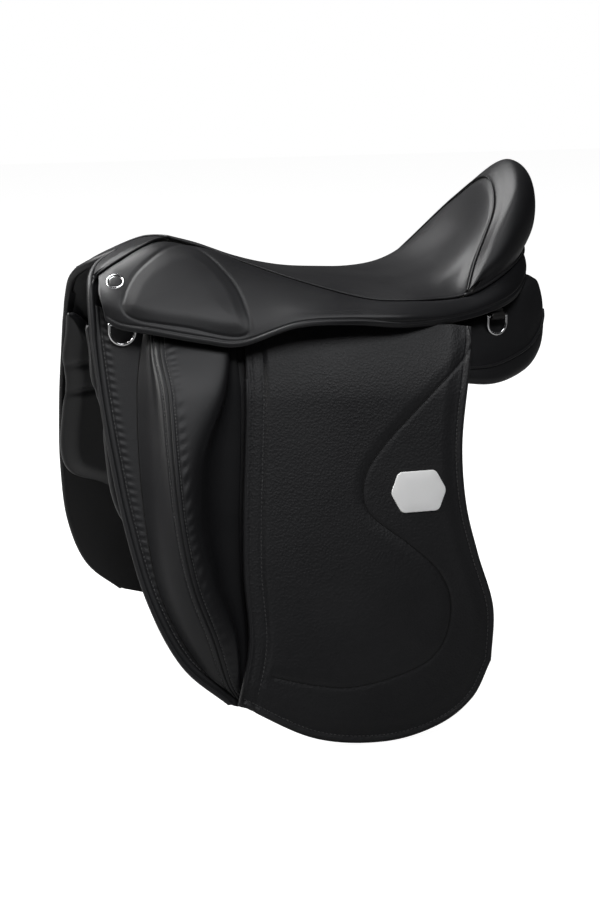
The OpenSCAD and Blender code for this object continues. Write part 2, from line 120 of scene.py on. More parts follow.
class Nodes:
    """Short-hand for building one material's node tree."""

    def __init__(self, name):
        self.mat = bpy.data.materials.new(name)
        self.mat.use_nodes = True
        self.tree = self.mat.node_tree
        self.shader = self.tree.nodes["Principled BSDF"]
        self.coord = self.tree.nodes.new("ShaderNodeTexCoord").outputs["Object"]

    def add(self, kind, **values):
        node = self.tree.nodes.new("ShaderNode" + kind)
        for key, value in values.items():
            key = key.replace("_", " ")
            if key in node.inputs:
                node.inputs[key].default_value = value
            else:
                setattr(node, key.replace(" ", "_"), value)
        return node

    def link(self, a, b):
        self.tree.links.new(a, b)

    def noise(self, scale, detail=3, rough=0.5):
        node = self.add("TexNoise", Scale=scale, Detail=detail, Roughness=rough)
        self.link(self.coord, node.inputs["Vector"])
        return node.outputs["Fac"]

    def ramp(self, value, low, high, a, b):
        node = self.add("MapRange")
        for key, v in (("From Min", low), ("From Max", high), ("To Min", a), ("To Max", b)):
            node.inputs[key].default_value = v
        self.link(value, node.inputs["Value"])
        return node.outputs["Result"]

    def maths(self, kind, a, b):
        node = self.tree.nodes.new("ShaderNodeMath")
        node.operation = kind
        for k, v in enumerate((a, b)):
            if isinstance(v, (int, float)):
                node.inputs[k].default_value = v
            else:
                self.link(v, node.inputs[k])
        return node.outputs[0]

    def colours(self, fac, dark, light):
        node = self.add("ValToRGB")
        node.color_ramp.elements[0].color = (*dark, 1)
        node.color_ramp.elements[1].color = (*light, 1)
        self.link(fac, node.inputs["Fac"])
        return node.outputs["Color"]

    def bump(self, height, strength, distance):
        node = self.add("Bump", Strength=strength, Distance=distance)
        self.link(height, node.inputs["Height"])
        self.link(node.outputs["Normal"], self.shader.inputs["Normal"])

    def set(self, **values):
        for key, value in values.items():
            self.shader.inputs[key.replace("_", " ")].default_value = value


def leather(name, dark, light, rough, grain, depth, coat=0.0, creases=0.35):
    """Dyed leather: grain cells, pores and soft creases, with a painted highlight along sharp convex edges;
    grain is in cells to the metre.
    """
    m = Nodes(name)
    cells = m.add("TexVoronoi", Scale=grain, Randomness=0.9)
    m.link(m.coord, cells.inputs["Vector"])
    pebble = m.ramp(cells.outputs["Distance"], 0.0, 0.75, 1.0, 0.0)
    fine = m.noise(grain * 2.6, 2)
    crease = m.noise(grain * 0.09, 4, 0.6)
    height = m.maths("ADD", m.maths("MULTIPLY", pebble, 0.6), m.maths("MULTIPLY", fine, 0.4))
    height = m.maths("ADD", height, m.maths("MULTIPLY", crease, creases))
    m.bump(height, 0.55, depth)
    patches = m.noise(14, 3)
    # Painted highlight: the colour is made lighter along sharp convex edges, where light catches them.
    point = m.tree.nodes.new("ShaderNodeNewGeometry").outputs["Pointiness"]
    painted_edge_highlight = m.ramp(point, 0.505, 0.56, 0.0, 0.5)
    tone = m.maths("ADD", m.maths("MULTIPLY", patches, 0.55), m.maths("MULTIPLY", fine, 0.35))
    tone = m.maths("ADD", tone, painted_edge_highlight)
    m.link(m.colours(tone, dark, light), m.shader.inputs["Base Color"])
    uneven = m.maths("ADD", m.maths("MULTIPLY", patches, 0.16), m.maths("MULTIPLY", pebble, -0.08))
    m.link(m.maths("ADD", uneven, rough - 0.04), m.shader.inputs["Roughness"])
    m.set(Specular_IOR_Level=0.27, Coat_Weight=coat, Coat_Roughness=0.35)
    return m.mat


def metal(name, colour, rough, scratch=900):
    m = Nodes(name)
    brushed = m.noise(scratch, 4, 0.65)
    spots = m.noise(60, 3)
    m.link(m.colours(spots, [c * 0.82 for c in colour], colour), m.shader.inputs["Base Color"])
    m.link(m.ramp(brushed, 0.2, 0.8, rough - 0.06, rough + 0.1), m.shader.inputs["Roughness"])
    m.bump(brushed, 0.12, 0.0001)
    m.set(Metallic=1.0)
    return m.mat


def cloth(name, dark, light, threads, depth, rough=0.9):
    """Woven or felted stuff: two crossing waves with a little fuzz."""
    m = Nodes(name)
    weave = None
    for axis in ("X", "Z"):
        wave = m.add("TexWave", Scale=threads, Distortion=0.6)
        wave.bands_direction = axis
        m.link(m.coord, wave.inputs["Vector"])
        weave = wave.outputs["Fac"] if weave is None else m.maths("MULTIPLY", weave, wave.outputs["Fac"])
    fuzz = m.noise(threads * 1.7, 3)
    height = m.maths("ADD", weave, m.maths("MULTIPLY", fuzz, 0.6))
    m.bump(height, 0.6, depth)
    m.link(m.colours(m.maths("MULTIPLY", height, 0.7), dark, light), m.shader.inputs["Base Color"])
    m.set(Roughness=rough, Sheen_Weight=0.25, Sheen_Roughness=0.5)
    return m.mat


def wood(name):
    m = Nodes(name)
    rings = m.add("TexWave", Scale=9, Distortion=5, Detail=3)
    rings.bands_direction = "Y"
    m.link(m.coord, rings.inputs["Vector"])
    m.link(m.colours(rings.outputs["Fac"], (0.36, 0.2, 0.1), (0.6, 0.39, 0.21)),
        m.shader.inputs["Base Color"])
    m.bump(rings.outputs["Fac"], 0.2, 0.0003)
    m.set(Roughness=0.5)
    return m.mat


def painted(name):
    """White satin plate: nearly even, with a faint orange peel and handling marks."""
    m = Nodes(name)
    peel = m.noise(700, 2)
    marks = m.noise(40, 4, 0.6)
    m.link(m.colours(marks, (0.91, 0.91, 0.90), (0.96, 0.96, 0.955)), m.shader.inputs["Base Color"])
    m.link(m.ramp(marks, 0.2, 0.8, 0.28, 0.42), m.shader.inputs["Roughness"])
    m.bump(peel, 0.12, 0.0001)
    return m.mat


MATERIAL = {
    "seat_leather": leather(
        "seat_leather", (0.006, 0.006, 0.007), (0.019, 0.019, 0.020), 0.44, 1500, 0.00013, 0.08
    ),
    "calf_leather": leather(
        "calf_leather", (0.004, 0.004, 0.005), (0.015, 0.015, 0.016), 0.42, 1300, 0.00014, 0.08
    ),
    "grained_leather": leather(
        "grained_leather", (0.005, 0.005, 0.006), (0.018, 0.018, 0.019), 0.5, 420, 0.0007, 0.03
    ),
    "panel_leather": leather(
        "panel_leather", (0.007, 0.007, 0.008), (0.022, 0.022, 0.023), 0.4, 1500, 0.00012, 0.13
    ),
    "strap_leather": leather(
        "strap_leather", (0.006, 0.006, 0.006), (0.020, 0.019, 0.018), 0.46, 1100, 0.00016, 0.06
    ),
    "webbing": cloth("webbing", (0.30, 0.26, 0.18), (0.62, 0.57, 0.44), 420, 0.0005),
    "felt": cloth("felt", (0.012, 0.012, 0.012), (0.045, 0.045, 0.045), 700, 0.0004, 0.95),
    "foam": cloth("foam", (0.55, 0.53, 0.44), (0.82, 0.80, 0.70), 520, 0.0006, 0.95),
    "tree_wood": wood("tree_wood"),
    "tree_steel": metal("tree_steel", (0.42, 0.43, 0.45), 0.42),
    "forged_steel": metal("forged_steel", (0.66, 0.66, 0.68), 0.26),
    "silver_trim": metal("silver_trim", (0.86, 0.86, 0.87), 0.16),
    "white_plate": painted("white_plate"),
    "seam_dark": leather("seam_dark", (0.002, 0.002, 0.002), (0.006, 0.006, 0.006), 0.7, 1500, 0.0001),
    "thread": cloth("thread", (0.012, 0.012, 0.012), (0.05, 0.05, 0.052), 1500, 0.0001, 0.6),
}

# ---- curves and lofted sheets, as the CAD has them ----


def along(points, s):
    """Points on the smooth curve through points, at each s from 0 to 1."""
    p = np.asarray(points, float)
    n = len(p) - 1
    q = np.clip(np.asarray(s, float) * n, 0, n - 1e-6)
    i = np.floor(q).astype(int)
    t = (q - i).reshape((-1,) + (1,) * (p.ndim - 1))
    a, b = p[i], p[i + 1]
    before = np.where((i > 0).reshape(t.shape), p[np.maximum(i - 1, 0)], 2 * a - b)
    after = np.where((i < n - 1).reshape(t.shape), p[np.minimum(i + 2, n)], 2 * b - a)
    square = 2 * before - 5 * a + 4 * b - after
    cube = 3 * a - before - 3 * b + after
    return 0.5 * (2 * a + (b - before) * t + square * t * t + cube * t**3)


def sheet(guides, us, vs):
    """Grid of points: rows run across the guides. us and vs are (from, to, steps)."""
    u = np.linspace(us[0], us[1], us[2] + 1)
    v = np.linspace(vs[0], vs[1], vs[2] + 1)
    rows = np.stack([along(g, u) for g in guides])
    return along(rows, v).transpose(1, 0, 2)


FLIP = np.array([1, -1, 1])


def both_sides(half):
    half = [np.asarray(g, float) for g in half]
    return half + [g * FLIP for g in half[-2::-1]]


def across(half):
    return [np.concatenate([np.asarray(g, float), np.asarray(g, float)[-2::-1] * FLIP]) for g in half]


def normals(g):
    du, dv = np.gradient(g, axis=0), np.gradient(g, axis=1)
    n = np.cross(du, dv)
    return n / np.maximum(np.linalg.norm(n, axis=2, keepdims=True), 1e-9)


def smooth(x, a, b):
    t = np.clip((x - a) / (b - a), 0, 1)
    return t * t * (3 - 2 * t)


def bell(x, at, width):
    """Bump of height 1 at the given place, for ridges and, taken away, for grooves."""
    return np.exp(-(((x - at) / width) ** 2))


def curve(points, count):
    """The smooth curve through points, resampled to count points at equal steps."""
    p = along(points, np.linspace(0, 1, max(400, count * 4)))
    run = np.concatenate([[0], np.cumsum(np.linalg.norm(np.diff(p, axis=0), axis=1))])
    s = np.linspace(0, run[-1], count)
    return np.stack([np.interp(s, run, p[:, k]) for k in range(p.shape[1])], axis=1)


def distance(x, z, line):
    """Distance from every (x, z) to a polyline, and how far along it the nearest place is."""
    best = np.full(x.shape, 1e9)
    place = np.zeros(x.shape)
    for k, (a, b) in enumerate(zip(line[:-1], line[1:])):
        d = b - a
        t = np.clip(((x - a[0]) * d[0] + (z - a[1]) * d[1]) / (d @ d), 0, 1)
        r = np.hypot(x - a[0] - t * d[0], z - a[1] - t * d[1])
        nearer = r < best
        best = np.where(nearer, r, best)
        place = np.where(nearer, (k + t) / (len(line) - 1), place)
    return best, place


def inside(x, z, line):
    odd = np.zeros(x.shape, bool)
    for a, b in zip(line, np.roll(line, -1, axis=0)):
        cross = (a[1] > z) != (b[1] > z)
        with np.errstate(divide="ignore", invalid="ignore"):
            odd ^= cross & (x < (b[0] - a[0]) * (z - a[1]) / (b[1] - a[1]) + a[0])
    return odd


# ---- meshes ----


def mesh_object(name, verts, faces, material, body=None):
    """A smooth-shaded object from millimetre points; with no body it is left without a parent."""
    data = bpy.data.meshes.new(name)
    data.from_pydata([tuple(v) for v in np.asarray(verts, float) * MM], [], faces)
    bm = bmesh.new()
    bm.from_mesh(data)
    bmesh.ops.remove_doubles(bm, verts=bm.verts, dist=1e-6)
    bmesh.ops.recalc_face_normals(bm, faces=bm.faces)
    bm.to_mesh(data)
    bm.free()
    data.polygons.foreach_set("use_smooth", [True] * len(data.polygons))
    data.materials.append(MATERIAL[material])
    made = bpy.data.objects.new(name, data)
    bpy.context.scene.collection.objects.link(made)
    if body:
        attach(made, body)
    return made


def grid_faces(m, n, start=0, wrap=False):
    faces = []
    for i in range(m - 1):
        for j in range(n if wrap else n - 1):
            k = (j + 1) % n
            faces.append((start + i * n + j, start + i * n + k, start + (i + 1) * n + k,
                start + (i + 1) * n + j))
    return faces


def boundary(g):
    return np.concatenate([g[0, :-1], g[:-1, -1], g[-1, :0:-1], g[:0:-1, 0]])


def solid(name, top, under, material, body=None, round_to=1.0, steps=3):
    """Closed piece between two grids of points, its rim rounded outwards."""
    m, n = top.shape[:2]
    verts = [top.reshape(-1, 3), under.reshape(-1, 3)]
    faces = grid_faces(m, n) + [f[::-1] for f in grid_faces(m, n, m * n)]
    index = np.arange(m * n).reshape(m, n, 1)
    rim = boundary(index)[:, 0]
    a, b = boundary(top), boundary(under)
    inner = np.concatenate([top[1, :-1], top[:-1, -2], top[-2, :0:-1], top[:0:-1, 1]])
    out = a - inner
    thick = b - a
    t2 = np.maximum((thick**2).sum(1, keepdims=True), 1e-9)
    out = out - thick * (out * thick).sum(1, keepdims=True) / t2
    out /= np.maximum(np.linalg.norm(out, axis=1, keepdims=True), 1e-9)
    out = (out + np.roll(out, 1, 0) + np.roll(out, -1, 0)) / 3
    half = np.sqrt(t2) / 2 * round_to
    count = len(rim)
    rings = [rim]
    for k in range(1, steps + 1):
        angle = math.pi * k / (steps + 1)
        ring = (a + b) / 2 - (b - a) / 2 * math.cos(angle) + out * half * math.sin(angle)
        verts.append(ring)
        rings.append(np.arange(count) + 2 * m * n + (k - 1) * count)
    rings.append(rim + m * n)
    for lower, upper in zip(rings[:-1], rings[1:]):
        for i in range(count):
            j = (i + 1) % count
            faces.append((lower[i], upper[i], upper[j], lower[j]))
    return mesh_object(name, np.concatenate(verts), faces, material, body)


def tube(name, path, radius, material, body=None, sides=10):
    """Round cord along a path of points, with rounded ends."""
    p = np.asarray(path, float)
    r = np.broadcast_to(np.asarray(radius, float), (len(p),)).copy()
    t = np.gradient(p, axis=0)
    t /= np.linalg.norm(t, axis=1, keepdims=True)
    first = p[0] - t[0] * r[0] * 0.6
    last = p[-1] + t[-1] * r[-1] * 0.6
    p = np.concatenate([[first], p, [last]])
    r = np.concatenate([[r[0] * 0.35], r, [r[-1] * 0.35]])
    t = np.concatenate([[t[0]], t, [t[-1]]])
    side = np.cross(t[0], [0.3, 0.2, 1.0])
    rows = []
    for k in range(len(p)):
        side = side - t[k] * (side @ t[k])
        side /= np.linalg.norm(side)
        other = np.cross(t[k], side)
        angle = np.linspace(0, 2 * math.pi, sides, endpoint=False)[:, None]
        rows.append(p[k] + r[k] * (np.cos(angle) * side + np.sin(angle) * other))
    faces = grid_faces(len(p), sides, 0, True)
    faces += [tuple(range(sides))[::-1], tuple((len(p) - 1) * sides + k for k in range(sides))]
    return mesh_object(name, np.concatenate(rows), faces, material, body)


def welt(name, path, radius, body, sides=10):
    tube(name, path, radius, "calf_leather", body, sides)


def dark_line(name, path, radius, body):
    """Shadowed bottom of a seam or crease."""
    tube(name, path, radius, "seam_dark", body, 6)


def stitches(name, path, out, body=None, step=4.0, length=3.0, width=0.85, high=0.5):
    """A row of thread stitches sunk in the leather along a path; out is the surface's outward side."""
    p = np.asarray(path, float)
    run = np.concatenate([[0], np.cumsum(np.linalg.norm(np.diff(p, axis=0), axis=1))])
    out = np.broadcast_to(np.asarray(out, float), p.shape)
    verts, faces = [], []
    ring = [(-0.5, 0.0), (-0.3, 0.42), (0.3, 0.42), (0.5, 0.0), (0.0, -0.5)]
    for s in np.arange(step / 2, run[-1] - step / 2, step):
        a, b = (np.array([np.interp(s + e * length / 2, run, p[:, k]) for k in range(3)]) for e in (-1, 1))
        n = np.array([np.interp(s, run, out[:, k]) for k in range(3)])
        d = b - a
        side = np.cross(d, n)
        side /= np.linalg.norm(side)
        n /= np.linalg.norm(n)
        base = len(verts)
        for f, k in ((0.0, 0.3), (0.15, 0.85), (0.5, 1.0), (0.85, 0.85), (1.0, 0.3)):
            sink = -0.35 * (1 - k)
            for x, y in ring:
                verts.append(a + d * f + side * x * width * k + n * (y * high * 2 * k + sink + 0.1))
        faces += [tuple(base + v for v in f) for f in grid_faces(5, 5, 0, True)]
        faces += [tuple(base + v for v in (4, 3, 2, 1, 0)), tuple(base + 20 + v for v in range(5))]
    return mesh_object(name, verts, faces, "thread", body)


def lathe(name, profile, centre, axis, material, body=None, sides=48):
    """Turned piece: profile is (radius, height) from the middle of one end to the middle of the other."""
    n = np.asarray(axis, float)
    n /= np.linalg.norm(n)
    u = np.cross(n, [0, 0, 1.0])
    u /= np.linalg.norm(u)
    v = np.cross(n, u)
    angle = np.linspace(0, 2 * math.pi, sides, endpoint=False)[:, None]
    rows = [np.asarray(centre) + n * h + r * (np.cos(angle) * u + np.sin(angle) * v) for r, h in profile]
    return mesh_object(name, np.concatenate(rows), grid_faces(len(rows), sides, 0, True), material, body)


SIDES = (("near", 1), ("off", -1))


def stands_for(made, slot, *nodes):
    """The piece takes the place of these CAD nodes, which are hidden; slot is not used."""
    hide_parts(*nodes)


def mirrored(p, side):
    """Points of the near side, or the same ones carried over to the off side."""
    return np.asarray(p, float) * (1 if side > 0 else FLIP)


# ---- seat ----

SEAT_EDGE = [[-164, -3, 129.6], [-131, -17, 119.6], [-96, -39, 106], [-52, -73.5, 91], [3, -104, 76.6],
             [45, -115, 74.5], [72, -114.5, 74.5], [89, -114, 75.5], [101, -113, 78]]
SEAT_OUTER = [[-164, -2, 129.8], [-131, -12, 120.2], [-92, -30, 105.5], [-45, -59, 91], [8, -85, 82.5],
              [48, -95, 80.5], [77, -95, 82.5], [99, -93, 89], [117, -90, 103.5]]
SEAT_INNER = [[-164, -1, 130], [-131, -6, 120.3], [-88, -16, 104.6], [-38, -34, 92.6], [14, -52, 86.5],
              [56, -60, 85], [92, -62, 94.5], [123, -58.5, 118], [152, -51.5, 151]]
SEAT_CREST = [[-164, 0, 130.1], [-131, 0, 120.4], [-86, 0, 104.2], [-36, 0, 93.5], [18, 0, 86.8],
              [62, 0, 86], [102, 0, 97.5], [137, 0, 128], [164, 0, 176]]
SEAT = both_sides([SEAT_EDGE, SEAT_OUTER, SEAT_INNER, SEAT_CREST])
LEATHER = 3.0

seat_top = sheet(SEAT, (0, 1, 170), (0, 1, 120))
seat_n = normals(seat_top)
u = np.linspace(0, 1, 171)[:, None]
v = np.linspace(0, 1, 121)[None, :]
# The leather dips to the seam along its edges.
ACROSS_SEAT, ALONG_SEAT = 240, 300
SEAM_DEPTH, SEAM_WIDTH = 1.3, 3.0
edge_in = np.minimum(v, 1 - v) * ACROSS_SEAT
back_in = (1 - u) * ALONG_SEAT
seam_dip = -SEAM_DEPTH * bell(np.minimum(edge_in, back_in), 0, SEAM_WIDTH)
seat_top = seat_top + seat_n * seam_dip[..., None]
seat = solid("seat_cover_leather", seat_top, seat_top - seat_n * (LEATHER - 0.6), "seat_leather", ROOT, 0.7)
stands_for(seat, "seat_leather", "seat_cover")


def lowered(g, d, k):
    return g * np.array([1, k, 1]) - np.array([0, 0, d])


top = sheet(SEAT, (0.03, 0.97, 60), (0.06, 0.94, 40))
foam = solid("seat_foam_pad", lowered(top, 8, 0.93), lowered(top, 19, 0.9), "foam", ROOT, 0.6)
stands_for(foam, "foam", "seat_foam")
top = sheet(SEAT, (0.02, 0.96, 60), (0.12, 0.88, 40))
tree = solid("beech_tree_shell", lowered(top, 21, 0.86), lowered(top, 27, 0.84), "tree_wood", ROOT, 0.8)
stands_for(tree, "tree_wood", "tree_shell")

top = sheet(SEAT, (0.02, 0.96, 60), (0.11, 0.89, 40))
cover = solid("tree_underlining", lowered(top, 27.6, 0.86), lowered(top, 29, 0.86),
    "strap_leather", ROOT, 0.8)
# Lining between the tree and the panels, seen only with the skirt lifted
LINING = [
    [[-132, -21, 106], [-96, -33, 93], [-52, -62, 80], [3, -90, 66], [45, -100, 63], [90, -98, 65]],
    [[-132, -33, 80], [-96, -45, 72], [-52, -68, 65], [3, -90, 57], [45, -101, 56], [90, -99, 60]],
    [[-132, -44, 50], [-96, -56, 47], [-52, -72, 44], [3, -90, 44], [45, -101, 46], [90, -98, 50]],
]
for tag, side in SIDES:
    wall = mirrored(sheet(LINING, (0, 1, 60), (0, 1, 12)), side)
    lining = solid("seat_lining_" + tag, wall, wall + np.array([0, 1.6 * side, 0]),
        "strap_leather", ROOT, 0.6)

# ---- cantle ----

SKIRT_TOP = [[-240, -31, 99.5], [-220, -29, 111], [-180, -15, 127], [-131, -18.5, 118.8], [-96, -40.5, 105],
             [-52, -75, 90], [3, -105.6, 75.4], [45, -116.7, 73.5], [98, -115.5, 75.5], [140, -98, 89],
             [178, -60, 104],
             [203, -2.5, 113]]
CAP = across([
    [[102.2, -113.6, 80.4], [118.4, -91, 104.4], [153.2, -52, 152], [165.4, 0, 177.4]],
    [[105, -114, 84], [128, -89, 111.5], [163, -52, 160.5], [176, 0, 187]],
    [[110, -113, 87], [141, -88, 120], [178, -54, 170], [191, 0, 194]],
    [[114.5, -110, 88], [151, -90, 117], [193, -55, 160], [206, 0, 182]],
    [[118, -107, 87], [154, -90, 105], [195, -53, 133], [208, 0, 149]],
    [[120, -103.5, 86], [149, -90, 95.5], [182, -54, 108], [202, 0, 116.5]],
])
rear_top = along(SKIRT_TOP, np.linspace(8.05 / 11, 1, 16)) + np.array([-1.0, 0, -1.9])
rear_top[-1] = [202, 0, 111]
hem = np.concatenate([rear_top, rear_top[-2::-1] * FLIP])
CAP[5] = curve(hem, 25)
cap_in = sheet(CAP, (0, 1, 150), (0, 1, 70))
cap_n = normals(cap_in)
v = np.linspace(0, 1, 71)[None, :]
DOWN_CAP = 100
dip = 0.7 * bell(v * DOWN_CAP, 0, SEAM_WIDTH) + 0.6 * bell((1 - v) * 0.9 * DOWN_CAP, 0, SEAM_WIDTH)
cap_in = cap_in + cap_n * dip[..., None]
cap = solid("cantle_cap_leather", cap_in + cap_n * (LEATHER - 0.6), cap_in, "seat_leather", ROOT, 0.7)
stands_for(cap, "seat_leather", "cantle_cap")
face = sheet([CAP[k] for k in (0, 1, 2)], (0.1, 0.9, 50), (0.35, 0.95, 12))
back = sheet([CAP[k] for k in (5, 4, 3)], (0.1, 0.9, 50), (0.15, 0.95, 12))
pad = solid("cantle_filling", back - normals(back) * 5, face + normals(face) * 5, "foam", ROOT, 0.5)
stands_for(pad, "foam", "cantle_pad")

# Welts: one round the cantle, one down each side of the seat.
seam = along(CAP[0], np.linspace(0, 1, 220)) + np.array([-0.6, 0, 0.3])
welt("cantle_welt", seam, 0.95, ROOT)
# Seam allowance behind the cantle's seam
allowance = cap_in[:, 0] + cap_n[:, 0] * 3.6
tube("cantle_seam_tape", allowance, 3.0, "strap_leather", ROOT)
half = along(SKIRT_TOP, np.linspace(8 / 11, 1, 120)) + np.array([0.4, 0, 1.0])
seam = np.concatenate([half, (half * FLIP)[::-1]])
welt("cap_lower_welt", seam, 1.5, ROOT)
for tag, side in SIDES:
    edge = along(SEAT_EDGE, np.linspace(0, 1, 200)) + np.array([0, -0.9, -0.7])
    welt("seat_welt_" + tag, mirrored(edge, side), 1.2, ROOT)

# ---- pommel ----

FACING = across([
    [[-240, -31, 100.5], [-218, -28, 113], [-185, -18, 127.0], [-163, 0, 128.4]],
    [[-246, -36, 96], [-230, -24, 110], [-207, -12, 121], [-190, 0, 126]],
    [[-250, -40, 89], [-241, -19, 103.5], [-229, -6, 111.5], [-215, 0, 118]],
    [[-250, -39, 85], [-242, -18, 99], [-229, -5, 107], [-215, 0, 113]],
])
top = sheet(FACING, (0, 1, 110), (0, 1, 60))
n = normals(top)
facing = solid("pommel_facing_leather", top, top - n * (LEATHER - 0.8), "calf_leather", ROOT, 0.8)
stands_for(facing, "calf_leather", "pommel_facing")
seam = along(FACING[0], np.linspace(0, 1, 160)) + np.array([0.3, 0, 0.3])
welt("pommel_welt", seam, 1.3, ROOT)

# ---- the flap plane ----

FLAP_X0, FLAP_X1 = -250, 70


def lean(x, z):
    t = (x - FLAP_X0) / (FLAP_X1 - FLAP_X0)
    h = 40 - z
    return (50 + 0.47 * (68 - z)) * (1 - t) + (142 + 0.311 * h - 0.000263 * h * h) * t


def on_flap(x, z, off):
    x, z = np.asarray(x, float), np.asarray(z, float)
    return np.stack([x, -(lean(x, z) + off), z], axis=-1)


def flap_out(x, z):
    n = np.stack([-(lean(x + 1, z) - lean(x - 1, z)) / 2, -np.ones_like(x),
        -(lean(x, z + 1) - lean(x, z - 1)) / 2], -1)
    return n / np.linalg.norm(n, axis=-1, keepdims=True)


def sewn(name, x, z, off, side, body):
    """Row of stitches along (x, z) at the given height over the flap plane."""
    row = mirrored(on_flap(x, z, off), side)
    stitches(name, row, mirrored(flap_out(x, z), side), body)


def flat_sheet(guides, nu, nv, us=(0, 1), vs=(0, 1)):
    """Grid of (x, z) through upright guides."""
    g = sheet([np.asarray(a, float) for a in guides], (*us, nu), (*vs, nv))
    return g[..., 0], g[..., 1]


# sheet() needs three columns where the plane has two
def flat_guides(guides):
    return [np.column_stack([np.asarray(g, float), np.zeros(len(g))]) for g in guides]


# ---- leg flap ----

FLAP_THICK = [[0, 7], [10, 6.2], [22, 4.6], [42, 3.2]]
FLAP_GUIDES = flat_guides([
    [[-114, 52], [-117, 38], [-119, 21.5], [-123, -15], [-130, -65], [-137, -115], [-142, -165], [-144, -222],
     [-160, -273]],
    [[-60, 53], [-66, 38], [-68, 21.5], [-69, -20], [-72, -75], [-76, -130], [-80, -185], [-84, -245],
     [-92, -308]],
    [[10, 53], [10, 38], [-2, 21.5], [-14, -22], [-16, -78], [-18, -135], [-20, -192], [-22, -255],
     [-24, -318]],
    [[46, 52], [44, 38], [40, 21.5], [34, -20], [30, -74], [31, -128], [35, -182], [38, -240], [30, -309]],
    [[70, 52], [70, 38], [66, 21.5], [58, -16], [52, -66], [53, -118], [60, -168], [68, -222], [66, -287]],
    [[94, 50], [92, 38], [87, 21.5], [78, -12], [70, -60], [70, -110], [78, -155], [90, -205], [86, -254]],
])
S_LINE = curve([
    [90, 34], [78, 20], [56, 2], [36, -16], [21, -30], [6, -44], [-11, -62], [-20, -74],
    [-25, -86], [-27, -98], [-25, -108], [-18, -118], [-7, -127], [5, -136], [17, -146],
    [29, -157], [39, -169], [46, -184], [48, -199], [46, -214], [41, -228], [33, -240],
    [16, -252], [-19, -262], [-58, -266], [-94, -260], [-127, -251],
], 170)


def table(z, pairs):
    a = np.asarray(pairs, float)
    order = np.argsort(a[:, 0])
    return np.interp(z, a[order, 0], a[order, 1])


def flap_height(z):
    """The leg flap's level over the flap plane: even below, turning in under the skirt."""
    return 16 - 20 * np.clip((np.asarray(z, float) + 12) / 78, 0, None) ** 1.7


def grid_line(x, z, *parts):
    return np.concatenate([np.stack([x[p], z[p]], -1) for p in parts])


def shifted(line, by):
    """A line of (x, z) moved sideways, to its left hand for by above 0."""
    t = np.gradient(line, axis=0)
    t /= np.maximum(np.linalg.norm(t, axis=1, keepdims=True), 1e-9)
    return line + np.stack([-t[:, 1], t[:, 0]], -1) * by


ALL = slice(None)
fx, fz = flat_sheet(FLAP_GUIDES, 300, 190)
front_line = grid_line(fx, fz, (ALL, 0))
rim_line = grid_line(fx, fz, (ALL, -1), (-1, slice(None, None, -1)))
# Padded side of the seam line
PADDED = np.concatenate([S_LINE, [[-175, -251], [-175, 80], [90, 80]]])
BAND, HEM = 14.0, 6.0


def flap_off(x, z):
    """Height of the leg flap's outer side over the flap plane."""
    seam, _ = distance(x, z, S_LINE)
    lead, _ = distance(x, z, front_line[::4])
    rim, _ = distance(x, z, rim_line[::4])
    behind = smooth(lead, BAND, BAND + 5)
    # Grooves along the bead and the front band
    off = flap_height(z) - 0.9 * bell(lead, 3.8, 1.1) - 0.7 * bell(lead, BAND, 1.1)
    # Padding, rolling down to the seam line, and the line itself
    off = off + behind * (1.9 - 1.3 * np.where(inside(x, z, PADDED), smooth(-seam, -11, 0), 1.0))
    off = off - 1.0 * bell(seam, 0, 1.5) * behind
    # Towards the rim: falling away, the stitched groove, and a rolled edge
    off = off - 2.4 * smooth(-rim, -22, -HEM - 1) - 0.7 * bell(rim, HEM, 1.0)
    return off + 1.1 * bell(rim, 2.8, 2.2) - 1.6 * smooth(-rim, -1.6, 0)


flap_top = on_flap(fx, fz, flap_off(fx, fz))
flap_in = on_flap(fx, fz, flap_height(fz) - table(fz, FLAP_THICK))
crease = S_LINE[12:]
crease_path = on_flap(*crease.T, flap_off(*crease.T) + 0.12)
for tag, side in SIDES:
    flap = solid("leg_flap_leather_" + tag, mirrored(flap_top, side), mirrored(flap_in, side),
        "grained_leather", None, 0.55)
    stands_for(flap, "grained_leather", "leg_flap_" + tag, "flap_root_" + tag)
    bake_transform(flap)
    body = "leg_flap_" + tag
    dark_line("flap_crease_" + tag, mirrored(crease_path, side), 0.55, body)
    lead = front_line[front_line[:, 1] < 8]
    bead = on_flap(lead[:, 0] - 0.4, lead[:, 1], flap_height(lead[:, 1]) - 2.2)
    welt("flap_bead_" + tag, mirrored(bead, side), 2.2, body)
    rim = rim_line[rim_line[:, 1] < 0][6:]
    for name, line in (("flap_stitch_", shifted(lead, BAND)[:-6]),
        ("flap_rim_stitch_", shifted(rim, -HEM)[::2])):
        x, z = line.T
        sewn(name + tag, x, z, flap_off(x, z) + 0.1, side, body)

# Blank six-sided plate, its corners rounded and its edge eased.
PLATE_AT = (25, -95)
PLATE_W, PLATE_H, PLATE_T = 53, 38, 1.6
corners = np.array([[-PLATE_W / 2, 0], [-PLATE_W / 3, PLATE_H / 2], [PLATE_W / 3, PLATE_H / 2],
    [PLATE_W / 2, 0],
                    [PLATE_W / 3, -PLATE_H / 2], [-PLATE_W / 3, -PLATE_H / 2]])


def rounded(points, radius, steps=6):
    made = []
    for k in range(len(points)):
        p, a, b = points[k], points[k - 1], points[(k + 1) % len(points)]
        start, end = (p + (q - p) / np.linalg.norm(q - p) * radius for q in (a, b))
        for t in np.linspace(0, 1, steps):
            made.append((1 - t) ** 2 * start + 2 * t * (1 - t) * p + t * t * end)
    return np.array(made)


